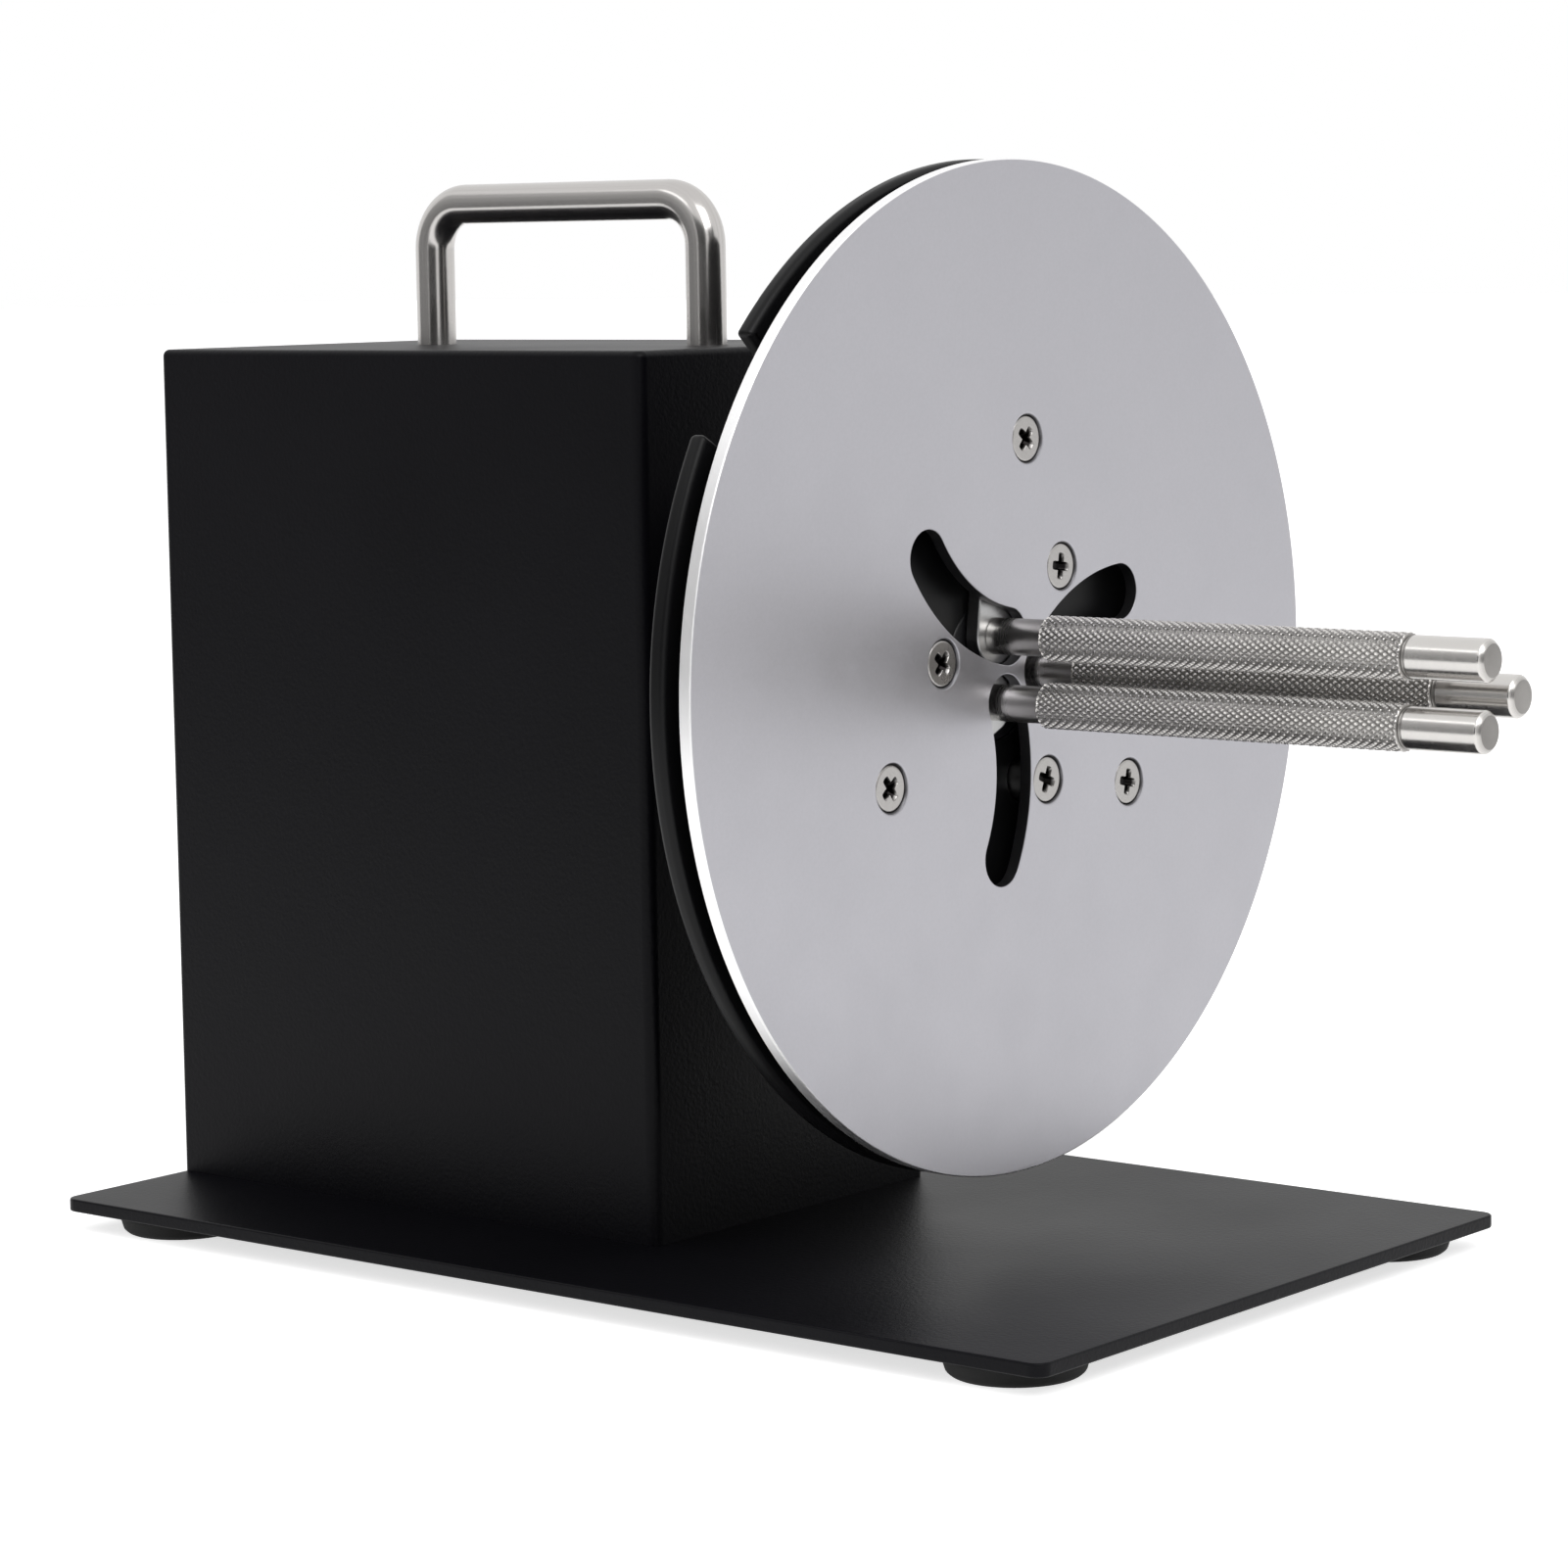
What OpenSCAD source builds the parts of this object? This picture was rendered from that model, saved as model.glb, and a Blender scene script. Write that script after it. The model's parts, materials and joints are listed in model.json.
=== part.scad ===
// Label rewinder: a roll is wound on three knurled rods that spread to fit the core
// Millimetres, X along the spindle towards the roll, Z up, origin on the floor under the middle

/* [Base] */
// Length of the base plate along the spindle
plate_l = 282; // [270:1:300]
// Width of the base plate
plate_w = 174; // [164:1:200]
// Thickness of the base plate
plate_t = 3; // [2.5:0.1:4]
// Corner radius of the base plate
plate_r = 3.5; // [2:0.5:12]
// Diameter of a rubber foot
foot_d = 30.5; // [24:0.5:31]
// Height of a rubber foot
foot_h = 4.6; // [4.2:0.1:8]
// Front foot centre in from the plate edge
foot_front = 19; // [17:0.5:30]
// Rear foot centre in from the plate edge
foot_rear = 22.5; // [17:0.5:30]
// Foot centre in from the plate side
foot_side = 17.5; // [16:0.5:24]

/* [Housing] */
// Depth of the housing along the spindle
body_d = 149.5; // [145:0.5:165]
// Width of the housing
body_w = 97; // [92:1:110]
// Height of the housing above the plate
body_h = 196.5; // [190:0.5:215]
// Sheet thickness
sheet_t = 1.5; // [1.2:0.1:2]
// Outside radius of the folds
bend_r = 2.6; // [2.2:0.1:5]
// Width of the inner fixing flanges
flange_w = 11; // [9:0.5:12]

/* [Handle] */
// Leg spacing of the handle
handle_span = 84; // [70:1:96]
// Bar diameter of the handle
handle_d = 9.2; // [7:0.2:10]
// Bar centre above the housing
handle_rise = 33; // [28:1:45]
// Bend radius at the bar centre
handle_bend = 10.5; // [8:0.5:18]
// Handle centre forward of the housing centre
handle_shift = 11; // [0:1:14]

/* [Winding disc] */
// Diameter of the front disc and of the adjusting wheel
disc_d = 220; // [200:1:230]
// Thickness of the front disc
disc_t = 3; // [3:0.1:4]
// Front face of the disc ahead of the housing
disc_reach = 65; // [58:1:75]
// Spindle height above the plate
axis_up = 126.5; // [120:0.5:132]
// Pitch radius of the disc screws
screw_r = 27; // [26:0.2:28]
// Angle of the first disc screw
screw_turn = 52.7; // [48:0.1:56]
// Head diameter of the countersunk screws
head_d = 11; // [10.4:0.1:11.4]

/* [Adjusting wheel] */
// Thickness of the adjusting wheel
wheel_t = 4.2; // [3.8:0.1:6]
// Rounding of the wheel rim
rim_r = 1.6; // [0.6:0.1:1.8]
// Angle of the first finger notch
notch_turn = 143.7; // [138:0.1:150]
// Finger notch width in degrees of the rim
notch_a = 12.6; // [8:0.2:20]
// Finger notch depth
notch_h = 9; // [5:0.5:14]

/* [Lever arms] */
// Pitch radius of the arm pivots
pivot_r = 50; // [49:0.2:52]
// Angle of the first pivot
pivot_turn = 85.3; // [82:0.1:88]
// Closest approach of a rod path to the spindle axis
centre_gap = 7; // [6.6:0.1:8]
// Lean of an arm at rest from the line to the axis, in degrees
rest_lean = 5.5; // [4:0.1:7]
// Swing of an arm from closed to open, in degrees
swing = 46; // [38:0.2:50]
// Tail of an arm beyond its pivot
tail_l = 20; // [17:0.5:24]
// Arm thickness
arm_t = 3.4; // [3.2:0.1:4.5]
// Metal left between two slots of the disc
slot_web = 1.9; // [1:0.1:2.5]

/* [Core rods] */
// Rod length ahead of the disc
rod_l = 120; // [100:1:140]
// Diameter over the knurl
rod_d = 10; // [8.8:0.1:10.6]
// Diameter of the neck
neck_d = 8; // [6.4:0.1:8]
// Length of the neck ahead of the disc
neck_l = 11; // [6:0.5:14]
// Diameter of the plain tip
tip_d = 9; // [7.4:0.1:9]
// Length of the plain tip
tip_l = 19; // [12:0.5:24]

/* [Spindle] */
// Spindle diameter at the bearings and the hub
spindle_d = 20; // [18:0.2:21]
// Outside diameter of a bearing
bearing_d = 42; // [40:0.2:44]
// Width of a bearing
bearing_w = 12; // [10:0.5:13]
// Flange diameter of the bearing housing
flange_d = 78; // [76:1:88]
// Outside diameter of the hub barrel
hub_d = 40; // [36:0.5:46]

/* [Motor] */
// Gearbox diameter
gearbox_d = 42; // [40:0.5:50]
// Gearbox length
gearbox_l = 26; // [22:0.5:30]
// Motor diameter
motor_d = 37; // [30:0.5:40]

/* [Rear controls] */
// Height of the switch and the knob above the plate
control_up = 76; // [70:1:84]
// Sideways distance of the knob and the switch from the middle
control_side = 20; // [17:0.5:24]
// Knob diameter
knob_d = 20; // [17:0.5:26]
// Knob reach behind the rear face
knob_l = 18; // [15:0.5:24]
// Height of the power inlet above the plate
inlet_up = 30; // [26:0.5:40]

/* [Fits] */
// Radial running fit of a turning piece on its pin
run_fit = 0.06; // [0.03:0.01:0.1]
// Gap between faces that slide past each other
slide_gap = 0.4; // [0.3:0.05:0.5]
// Side play of a drive pin in its slot
pin_play = 0.15; // [0.1:0.05:0.3]

/* [Hidden] */
$fn = 96;

// Places along the spindle
total_l = rod_l + disc_reach + body_d + knob_l;
x_rear = knob_l - total_l / 2;
x_front = x_rear + body_d;
x_disc = x_front + disc_reach;
arm_front = x_disc - disc_t - slide_gap;
arm_back = arm_front - arm_t;
wheel_front = arm_back - slide_gap;
wheel_back = wheel_front - wheel_t;
washer_t = 0.8;
hub_front = wheel_back - slide_gap - washer_t;
hub_back = hub_front - 6;
x_nose = x_front + 13;
bearing_1 = x_nose - 2;
bearing_2 = bearing_1 - 36;
clip_t = 1.2;
x_tail = bearing_2 - bearing_w - clip_t - 1.8;
x_coupling = x_tail - 2;
coupling_l = 28;
x_plate = x_coupling - coupling_l - 4;
motor_plate_t = 3;
x_gearbox = x_plate - motor_plate_t;
x_motor = x_gearbox - gearbox_l;
x_panel = x_rear + sheet_t;
motor_l = x_motor - x_panel - 9;

// Heights
plate_top = foot_h + plate_t;
axis_h = plate_top + axis_up;
body_top = plate_top + body_h;

// Arm geometry
function polar(r, a) = [r * cos(a), r * sin(a)];
arm_l = pivot_r - centre_gap;
rod_r0 = norm([pivot_r - arm_l * cos(rest_lean), arm_l * sin(rest_lean)]);
arm_tip_r = rod_r0 * sqrt(3) / 2 - 0.5;
slot_hw = (rod_r0 * sqrt(3) - slot_web) / 2;
pivot_boss_r = 9;
post_r = 5;
tail_r = 5;
pin_r = 2.5;
standoff_r = 5;
screw_shank_r = 3;
wheel_bore_r = 16;
function pin_radius(lean) = norm(polar(pivot_r, 0) + polar(tail_l, lean));
function pin_angle(lean) = asin(tail_l * sin(lean) / pin_radius(lean));
wheel_ratio = tail_l * (tail_l + pivot_r * cos(rest_lean)) / pow(pin_radius(rest_lean), 2);
wheel_travel = wheel_ratio * swing;
function screw_at(k) = polar(screw_r, screw_turn + 120 * k);
function pivot_at(k) = polar(pivot_r, pivot_turn + 120 * k);
function rod_at(k) = pivot_at(k) + polar(arm_l, pivot_turn + 120 * k + 180 - rest_lean);
function pin_at(k) = pivot_at(k) + polar(tail_l, pivot_turn + 120 * k - rest_lean);
function cam_angle(s) = pivot_turn - pin_angle(rest_lean + s) + wheel_ratio * s;
function cam_at(s) = polar(pin_radius(rest_lean + s), cam_angle(s));
function cam_step(s) = cam_at(s + 0.5) - cam_at(s - 0.5);
function cam_heading(s) = atan2(cam_step(s)[1], cam_step(s)[0]);
cam_path = [for (i = [0 : 10]) let (s = swing * i / 10) [cam_at(s), cam_heading(s)]];
slot_path = [for (i = [0 : 16]) let (a = pivot_turn + 180 - rest_lean - swing * i / 16)
  [polar(arm_l, a), a - 90]];
clear_path = [for (i = [0 : 8]) let (a = screw_turn + wheel_travel * i / 8) [polar(screw_r, a), a + 90]];

// Fixing points
feet_x = [x_rear + foot_rear, x_rear + plate_l - foot_front];
foot_y = plate_w / 2 - foot_side;
foot_seat = foot_h - 1.6;
shell_screw_x = [x_rear + 50, x_front - 26];
shell_screw_y = body_w / 2 - sheet_t - flange_w / 2;
bracket_w = body_w - 2 * sheet_t - 2 * flange_w - 4;
bracket_t = 4;
x_bracket = x_front - sheet_t - bracket_t;
spindle_foot_l = 34;
motor_foot_l = 28;
board_lift = 12;
board_z = plate_top + board_lift;
board_x = x_rear + 12;
board_l = 58;
board_w = body_w - 2 * sheet_t - 18;
board_t = 1.6;
board_post_r = 2.8;
standoff_y = board_w / 2 - 6.5;
capacitor_r = 8;
capacitor_h = 22;
sink_w = 36;
sink_h = 24;
sink_t = 3;
fin_l = 7;
fin_t = 1;
terminal_l = 20;
terminal_w = 8;
terminal_h = 11;
post_gap = 0.7;
motor_bracket_w = 2 * (standoff_y - board_post_r - post_gap);
motor_screw_y = motor_bracket_w / 2 - 10;
bracket_screw_xy = [
  [x_bracket - 10, bracket_w / 2 - 8], [x_bracket - 10, 8 - bracket_w / 2],
  [x_bracket - 26, bracket_w / 2 - 8], [x_bracket - 26, 8 - bracket_w / 2],
  [x_gearbox - 14, motor_screw_y], [x_gearbox - 14, -motor_screw_y]];
panel_screw_y = body_w / 2 - sheet_t - flange_w / 2;
panel_screw_z = [plate_top + 14, plate_top + body_h / 2, body_top - 14];
handle_x = (x_rear + x_front) / 2 + handle_shift;
cart_r = bearing_d / 2 + 6;
cart_screw_r = flange_d / 2 - 6;
flange_t = 7;

// Round bar along X between two places, at a place in Y and Z
module bar_x(x0, x1, r, y = 0, z = 0) {
  translate([x0, y, z]) rotate([0, 90, 0]) cylinder(h = x1 - x0, r = r);
}

// Outline drawn in Y and Z, carried along X
module slab_x(x0, x1) {
  translate([x0, 0, 0]) rotate([90, 0, 90]) linear_extrude(x1 - x0) children();
}

// Outline in radius and height, turned about the X direction
module turn_x(x0) {
  translate([x0, 0, 0]) rotate([0, 90, 0]) rotate_extrude() children();
}

// Square with a round at each corner
module round_square(l, w, r) {
  translate([r, 0]) square([l - 2 * r, w]);
  translate([0, r]) square([l, w - 2 * r]);
  for (x = [r, l - r], y = [r, w - r]) translate([x, y]) circle(r);
}

// Outline of a band of half width w along a path of [point, heading] pairs, with round ends
function band(path, w) = let (n = len(path) - 1) concat(
  [for (q = path) q[0] + polar(w, q[1] + 90)],
  [for (a = [75 : -15 : -75]) path[n][0] + polar(w, path[n][1] + a)],
  [for (i = [n : -1 : 0]) path[i][0] + polar(w, path[i][1] - 90)],
  [for (a = [-105 : -15 : -255]) path[0][0] + polar(w, path[0][1] + a)]);

// Points on an arc about c
function arc(c, r, a0, a1, n) = [for (i = [0 : n]) c + polar(r, a0 + (a1 - a0) * i / n)];

// Cross recess for a driver, sunk along minus X from a face
module cross_x(x, y, z, size, deep) {
  translate([x - deep, y - size / 2, z - size / 10]) cube([deep + 1, size, size / 5]);
  translate([x - deep, y - size / 10, z - size / 2]) cube([deep + 1, size / 5, size]);
}

// Countersunk screw along minus X from a face
module sunk_screw(x, y, z, l) {
  head_h = head_d / 2 - screw_shank_r;
  difference() {
    union() {
      translate([x, y, z]) rotate([0, -90, 0]) cylinder(h = head_h, r1 = head_d / 2, r2 = screw_shank_r);
      bar_x(x - l, x - head_h + 0.01, screw_shank_r, y, z);
    }
    cross_x(x, y, z, head_d * 0.52, 1.7);
  }
}

// Room for a countersunk screw
module sunk_hole(x, y, z, l) {
  head_h = head_d / 2 - screw_shank_r;
  translate([x, y, z]) rotate([0, -90, 0]) cylinder(h = head_h, r1 = head_d / 2, r2 = screw_shank_r);
  bar_x(x - l, x, screw_shank_r, y, z);
}

// Screw pointing up, its head below the given height
module up_screw(x, y, z, head_r, head_h, r, l) {
  difference() {
    union() {
      translate([x, y, z - head_h]) cylinder(h = head_h, r1 = head_r * 0.86, r2 = head_r);
      translate([x, y, z]) cylinder(h = l, r = r);
    }
    translate([x - head_r * 0.55, y - head_r * 0.11, z - head_h - 1])
      cube([head_r * 1.1, head_r * 0.22, head_h * 0.6 + 1]);
    translate([x - head_r * 0.11, y - head_r * 0.55, z - head_h - 1])
      cube([head_r * 0.22, head_r * 1.1, head_h * 0.6 + 1]);
  }
}

// Housing block with rounded folds, shrunk by an inset on its closed sides
module body_block(inset, open) {
  w = body_w - 2 * inset;
  h = body_h - inset;
  r = bend_r - inset;
  x1 = x_front - inset;
  intersection() {
    translate([0, 0, plate_top]) slab_x(x_rear - open, x1) union() {
      translate([-w / 2, -open]) square([w, h - r + open]);
      translate([r - w / 2, -open]) square([w - 2 * r, h + open]);
      for (s = [-1, 1]) translate([s * (w / 2 - r), h - r]) circle(r);
    }
    translate([0, 0, plate_top - open]) linear_extrude(h + open) union() {
      translate([x_rear - open, -w / 2]) square([x1 - r - x_rear + open, w]);
      translate([x_rear - open, r - w / 2]) square([x1 - x_rear + open, w - 2 * r]);
      for (s = [-1, 1]) translate([x1 - r, s * (w / 2 - r)]) circle(r);
    }
    translate([0, w / 2, plate_top]) rotate([90, 0, 0]) linear_extrude(w) union() {
      translate([x_rear - open, -open]) square([x1 - r - x_rear + open, h + open]);
      translate([x_rear - open, -open]) square([x1 - x_rear + open, h - r + open]);
      translate([x1 - r, h - r]) circle(r);
    }
  }
}

// Base and housing
module base_plate() {
  color([0.12, 0.12, 0.13])
  difference() {
    translate([x_rear, -plate_w / 2, foot_h]) linear_extrude(plate_t) round_square(plate_l, plate_w, plate_r);
    for (x = feet_x, s = [-1, 1]) translate([x, s * foot_y, foot_h - 1]) cylinder(h = plate_t + 0.2, r = 2);
    for (x = shell_screw_x, s = [-1, 1])
      translate([x, s * shell_screw_y, foot_h - 1]) cylinder(h = plate_t + 2, r = 2);
    for (p = bracket_screw_xy) translate([p[0], p[1], foot_h - 1]) cylinder(h = plate_t + 2, r = 2.5);
  }
}

module rubber_feet() {
  r = foot_d / 2;
  color([0.06, 0.06, 0.06])
  for (x = feet_x, s = [-1, 1]) translate([x, s * foot_y, 0]) difference() {
    rotate_extrude() polygon([[0, 0], [r - 2, 0], [r - 0.9, 0.9], [r, foot_h - 0.6],
      [r - 0.5, foot_h], [0, foot_h]]);
    translate([0, 0, -1]) cylinder(h = foot_seat + 1, r = 6.2);
    cylinder(h = foot_h + 1, r = 2);
  }
}

module foot_screws() {
  color([0.7, 0.7, 0.72])
  for (x = feet_x, s = [-1, 1]) up_screw(x, s * foot_y, foot_seat, 4.6, 2, 2, 0.8 + plate_t);
}

module housing_shell() {
  color([0.11, 0.11, 0.12])
  difference() {
    union() {
      difference() {
        body_block(0, 0);
        body_block(sheet_t, 5);
      }
      for (s = [-1, 1]) {
        translate([x_rear + 10, s * (body_w / 2 - sheet_t - flange_w / 2) - flange_w / 2, plate_top])
          cube([body_d - 22, flange_w, sheet_t]);
        translate([x_panel, s * (body_w / 2 - sheet_t - flange_w / 2) - flange_w / 2, plate_top + 4])
          cube([sheet_t, flange_w, body_h - sheet_t - 4]);
      }
    }
    for (x = shell_screw_x, s = [-1, 1])
      translate([x, s * shell_screw_y, plate_top - 1]) cylinder(h = sheet_t + 2, r = 2);
    for (z = panel_screw_z, s = [-1, 1]) bar_x(x_panel - 1, x_panel + sheet_t + 1, 1.5, s * panel_screw_y, z);
    bar_x(x_front - sheet_t - 1, x_front + 1, cart_r, 0, axis_h);
    for (a = [45 : 90 : 315])
      bar_x(x_front - sheet_t - 1, x_front + 1, 2.5, cart_screw_r * cos(a), axis_h + cart_screw_r * sin(a));
    for (s = [-1, 1]) translate([handle_x + s * handle_span / 2, 0, body_top - sheet_t - 1])
      cylinder(h = sheet_t + 2, r = 2.5);
  }
}

module shell_screws() {
  color([0.7, 0.7, 0.72])
  for (x = shell_screw_x, s = [-1, 1])
    up_screw(x, s * shell_screw_y, foot_h, 4, 2.4, 2, plate_t + sheet_t + 2);
}

module rear_panel() {
  w = body_w - 2 * sheet_t - 0.4;
  color([0.11, 0.11, 0.12])
  difference() {
    translate([x_rear, -w / 2, plate_top + 0.2]) cube([sheet_t, w, body_h - sheet_t - 0.4]);
    for (z = panel_screw_z, s = [-1, 1]) bar_x(x_rear - 1, x_panel + 1, 1.5, s * panel_screw_y, z);
    translate([x_rear - 1, -control_side - 6.6, plate_top + control_up - 10]) cube([sheet_t + 2, 13.2, 20]);
    bar_x(x_rear - 1, x_panel + 1, 3.5, control_side, plate_top + control_up);
    bar_x(x_rear - 1, x_panel + 1, 5.5, -control_side, plate_top + inlet_up);
    for (i = [0 : 4]) translate([x_rear - 1, -22, axis_h + 26 + 7 * i]) cube([sheet_t + 2, 44, 3]);
  }
}

module rear_panel_screws() {
  color([0.16, 0.16, 0.17])
  for (z = panel_screw_z, s = [-1, 1]) difference() {
    union() {
      translate([x_rear, s * panel_screw_y, z]) rotate([0, -90, 0]) cylinder(h = 1.8, r1 = 2.9, r2 = 2.3);
      bar_x(x_rear, x_panel + sheet_t + 2, 1.5, s * panel_screw_y, z);
    }
    translate([x_rear - 3, s * panel_screw_y - 1.6, z - 0.35]) cube([2.2, 3.2, 0.7]);
    translate([x_rear - 3, s * panel_screw_y - 0.35, z - 1.6]) cube([2.2, 0.7, 3.2]);
  }
}

// Carry handle
module carry_handle() {
  r = handle_d / 2;
  up = handle_rise - handle_bend;
  color([0.75, 0.74, 0.73])
  translate([handle_x, 0, body_top]) difference() {
    union() {
      for (s = [-1, 1]) translate([s * handle_span / 2, 0, 0]) cylinder(h = up, r = r);
      bar_x(handle_bend - handle_span / 2, handle_span / 2 - handle_bend, r, 0, handle_rise);
      translate([handle_span / 2 - handle_bend, 0, up]) rotate([90, 0, 0])
        rotate_extrude(angle = 90) translate([handle_bend, 0]) circle(r);
      translate([handle_bend - handle_span / 2, 0, up]) rotate([90, 0, 0]) rotate([0, 0, 90])
        rotate_extrude(angle = 90) translate([handle_bend, 0]) circle(r);
    }
    for (s = [-1, 1]) translate([s * handle_span / 2, 0, -1]) cylinder(h = 11, r = 2.5);
  }
}

module handle_screws() {
  color([0.7, 0.7, 0.72])
  for (s = [-1, 1])
    up_screw(handle_x + s * handle_span / 2, 0, body_top - sheet_t, 4.6, 2.8, 2.5, sheet_t + 9);
}

// Spindle bearing
module spindle_bracket() {
  color([0.45, 0.46, 0.48])
  difference() {
    union() {
      translate([x_bracket, -bracket_w / 2, plate_top])
        cube([bracket_t, bracket_w, axis_up + flange_d / 2 + 2]);
      translate([x_bracket - spindle_foot_l, -bracket_w / 2, plate_top])
        cube([spindle_foot_l + bracket_t, bracket_w, bracket_t]);
    }
    bar_x(x_bracket - 1, x_bracket + bracket_t + 1, cart_r, 0, axis_h);
    for (a = [45 : 90 : 315])
      bar_x(x_bracket - 1, x_front, 2.5, cart_screw_r * cos(a), axis_h + cart_screw_r * sin(a));
    for (i = [0 : 3]) translate([bracket_screw_xy[i][0], bracket_screw_xy[i][1], plate_top - 1])
      cylinder(h = bracket_t + 2, r = 2.5);
  }
}

module bearing_housing() {
  ro = bearing_d / 2;
  color([0.14, 0.14, 0.15])
  translate([0, 0, axis_h]) difference() {
    union() {
      turn_x(x_tail) polygon([[0, 0], [cart_r, 0], [cart_r, x_nose - x_tail - 1.5],
        [cart_r - 1.5, x_nose - x_tail], [0, x_nose - x_tail]]);
      turn_x(x_front) polygon([[0, 0], [flange_d / 2, 0], [flange_d / 2, flange_t - 1],
        [flange_d / 2 - 1, flange_t], [0, flange_t]]);
    }
    bar_x(x_tail - 1, x_nose + 1, ro - 4, 0, 0);
    bar_x(bearing_1 - bearing_w, bearing_1, ro);
    bar_x(x_tail - 1, bearing_2, ro);
    bar_x(bearing_2 - bearing_w - clip_t, bearing_2 - bearing_w, ro + 1.2);
    for (a = [45 : 90 : 315])
      bar_x(x_front - 1, x_front + flange_t + 1, 2.5, cart_screw_r * cos(a), cart_screw_r * sin(a));
  }
}

module bearing_housing_screws() {
  color([0.2, 0.2, 0.21])
  translate([0, 0, axis_h]) for (a = [45 : 90 : 315]) {
    y = cart_screw_r * cos(a);
    z = cart_screw_r * sin(a);
    difference() {
      union() {
        bar_x(x_front + flange_t, x_front + flange_t + 5, 4.2, y, z);
        bar_x(x_bracket - 2, x_front + flange_t, 2.5, y, z);
      }
      translate([x_front + flange_t + 2, y, z]) rotate([0, 90, 0]) cylinder(h = 4, r = 2.3, $fn = 6);
    }
  }
}

module bearing_outer_rings() {
  ro = bearing_d / 2;
  rm = (bearing_d + spindle_d) / 4;
  rb = (bearing_d - spindle_d) * 0.136;
  color([0.8, 0.8, 0.82])
  translate([0, 0, axis_h]) for (x = [bearing_1, bearing_2]) turn_x(x - bearing_w) difference() {
    translate([rm + rb * 0.72, 0]) square([ro - rm - rb * 0.72, bearing_w]);
    translate([rm, bearing_w / 2]) circle(rb);
  }
}

module bearing_balls() {
  rm = (bearing_d + spindle_d) / 4;
  rb = (bearing_d - spindle_d) * 0.136;
  color([0.85, 0.85, 0.86])
  translate([0, 0, axis_h]) for (x = [bearing_1, bearing_2], a = [0 : 45 : 315])
    translate([x - bearing_w / 2, rm * cos(a), rm * sin(a)]) sphere(rb);
}

module bearing_clip() {
  ro = bearing_d / 2;
  x = bearing_2 - bearing_w - clip_t;
  color([0.3, 0.3, 0.31])
  translate([0, 0, axis_h]) difference() {
    bar_x(x, x + clip_t, ro + 1.2);
    bar_x(x - 1, x + clip_t + 1, ro - 2.4);
    translate([x - 1, -4, -ro - 3]) cube([clip_t + 2, 8, ro]);
  }
}

// Drive
module motor_bracket() {
  color([0.45, 0.46, 0.48])
  difference() {
    union() {
      translate([x_gearbox, -motor_bracket_w / 2, plate_top])
        cube([motor_plate_t, motor_bracket_w, axis_up + gearbox_d / 2 + 4]);
      translate([x_gearbox - motor_foot_l, -motor_bracket_w / 2, plate_top])
        cube([motor_foot_l + motor_plate_t, motor_bracket_w, motor_plate_t]);
    }
    bar_x(x_gearbox - 1, x_plate + 1, 10, 0, axis_h);
    for (a = [45 : 90 : 315])
      bar_x(x_gearbox - 1, x_plate + 1, 2, 15.5 * cos(a), axis_h + 15.5 * sin(a));
    for (i = [4, 5]) translate([bracket_screw_xy[i][0], bracket_screw_xy[i][1], plate_top - 1])
      cylinder(h = motor_plate_t + 2, r = 2.5);
  }
}

module bracket_screws() {
  color([0.7, 0.7, 0.72])
  for (p = bracket_screw_xy) up_screw(p[0], p[1], foot_h, 4.6, 2.8, 2.5, plate_t + motor_plate_t);
}

module gearbox() {
  color([0.62, 0.62, 0.64])
  translate([0, 0, axis_h]) difference() {
    union() {
      bar_x(x_motor, x_gearbox, gearbox_d / 2);
      bar_x(x_gearbox, x_plate, 10);
    }
    bar_x(x_gearbox - 10, x_plate + 1, 5 + run_fit);
    for (a = [45 : 90 : 315]) bar_x(x_gearbox - 7, x_gearbox + 1, 2, 15.5 * cos(a), 15.5 * sin(a));
  }
}

module motor_can() {
  color([0.2, 0.2, 0.22])
  translate([0, 0, axis_h]) {
    turn_x(x_motor - motor_l) polygon([[0, 0], [motor_d / 2 - 1.5, 0], [motor_d / 2, 1.5],
      [motor_d / 2, motor_l], [0, motor_l]]);
    bar_x(x_motor - motor_l - 3, x_motor - motor_l, 6);
    for (s = [-1, 1]) translate([x_motor - motor_l - 5, s * 10 - 2.4, -0.4]) cube([5, 4.8, 0.8]);
  }
}

module motor_screws() {
  color([0.7, 0.7, 0.72])
  translate([0, 0, axis_h]) for (a = [45 : 90 : 315]) difference() {
    union() {
      bar_x(x_plate, x_plate + 2.6, 3.4, 15.5 * cos(a), 15.5 * sin(a));
      bar_x(x_gearbox - 7, x_plate, 2, 15.5 * cos(a), 15.5 * sin(a));
    }
    cross_x(x_plate + 2.6, 15.5 * cos(a), 15.5 * sin(a), 4, 1.4);
  }
}

// Electronics
module control_board() {
  color([0.05, 0.3, 0.16])
  difference() {
    translate([board_x, -board_w / 2, board_z]) cube([board_l, board_w, board_t]);
    for (x = [board_x + 5, board_x + board_l - 5], s = [-1, 1])
      translate([x, s * standoff_y, board_z - 1]) cylinder(h = 4, r = 1.5);
  }
}

module board_standoffs() {
  color([0.8, 0.7, 0.4])
  for (x = [board_x + 5, board_x + board_l - 5], s = [-1, 1]) translate([x, s * standoff_y, plate_top]) {
    cylinder(h = board_lift, r = board_post_r);
    translate([0, 0, board_lift]) cylinder(h = board_t, r = 1.5);
    translate([0, 0, board_lift + board_t]) cylinder(h = 1.8, r = 2.6);
  }
}

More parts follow.
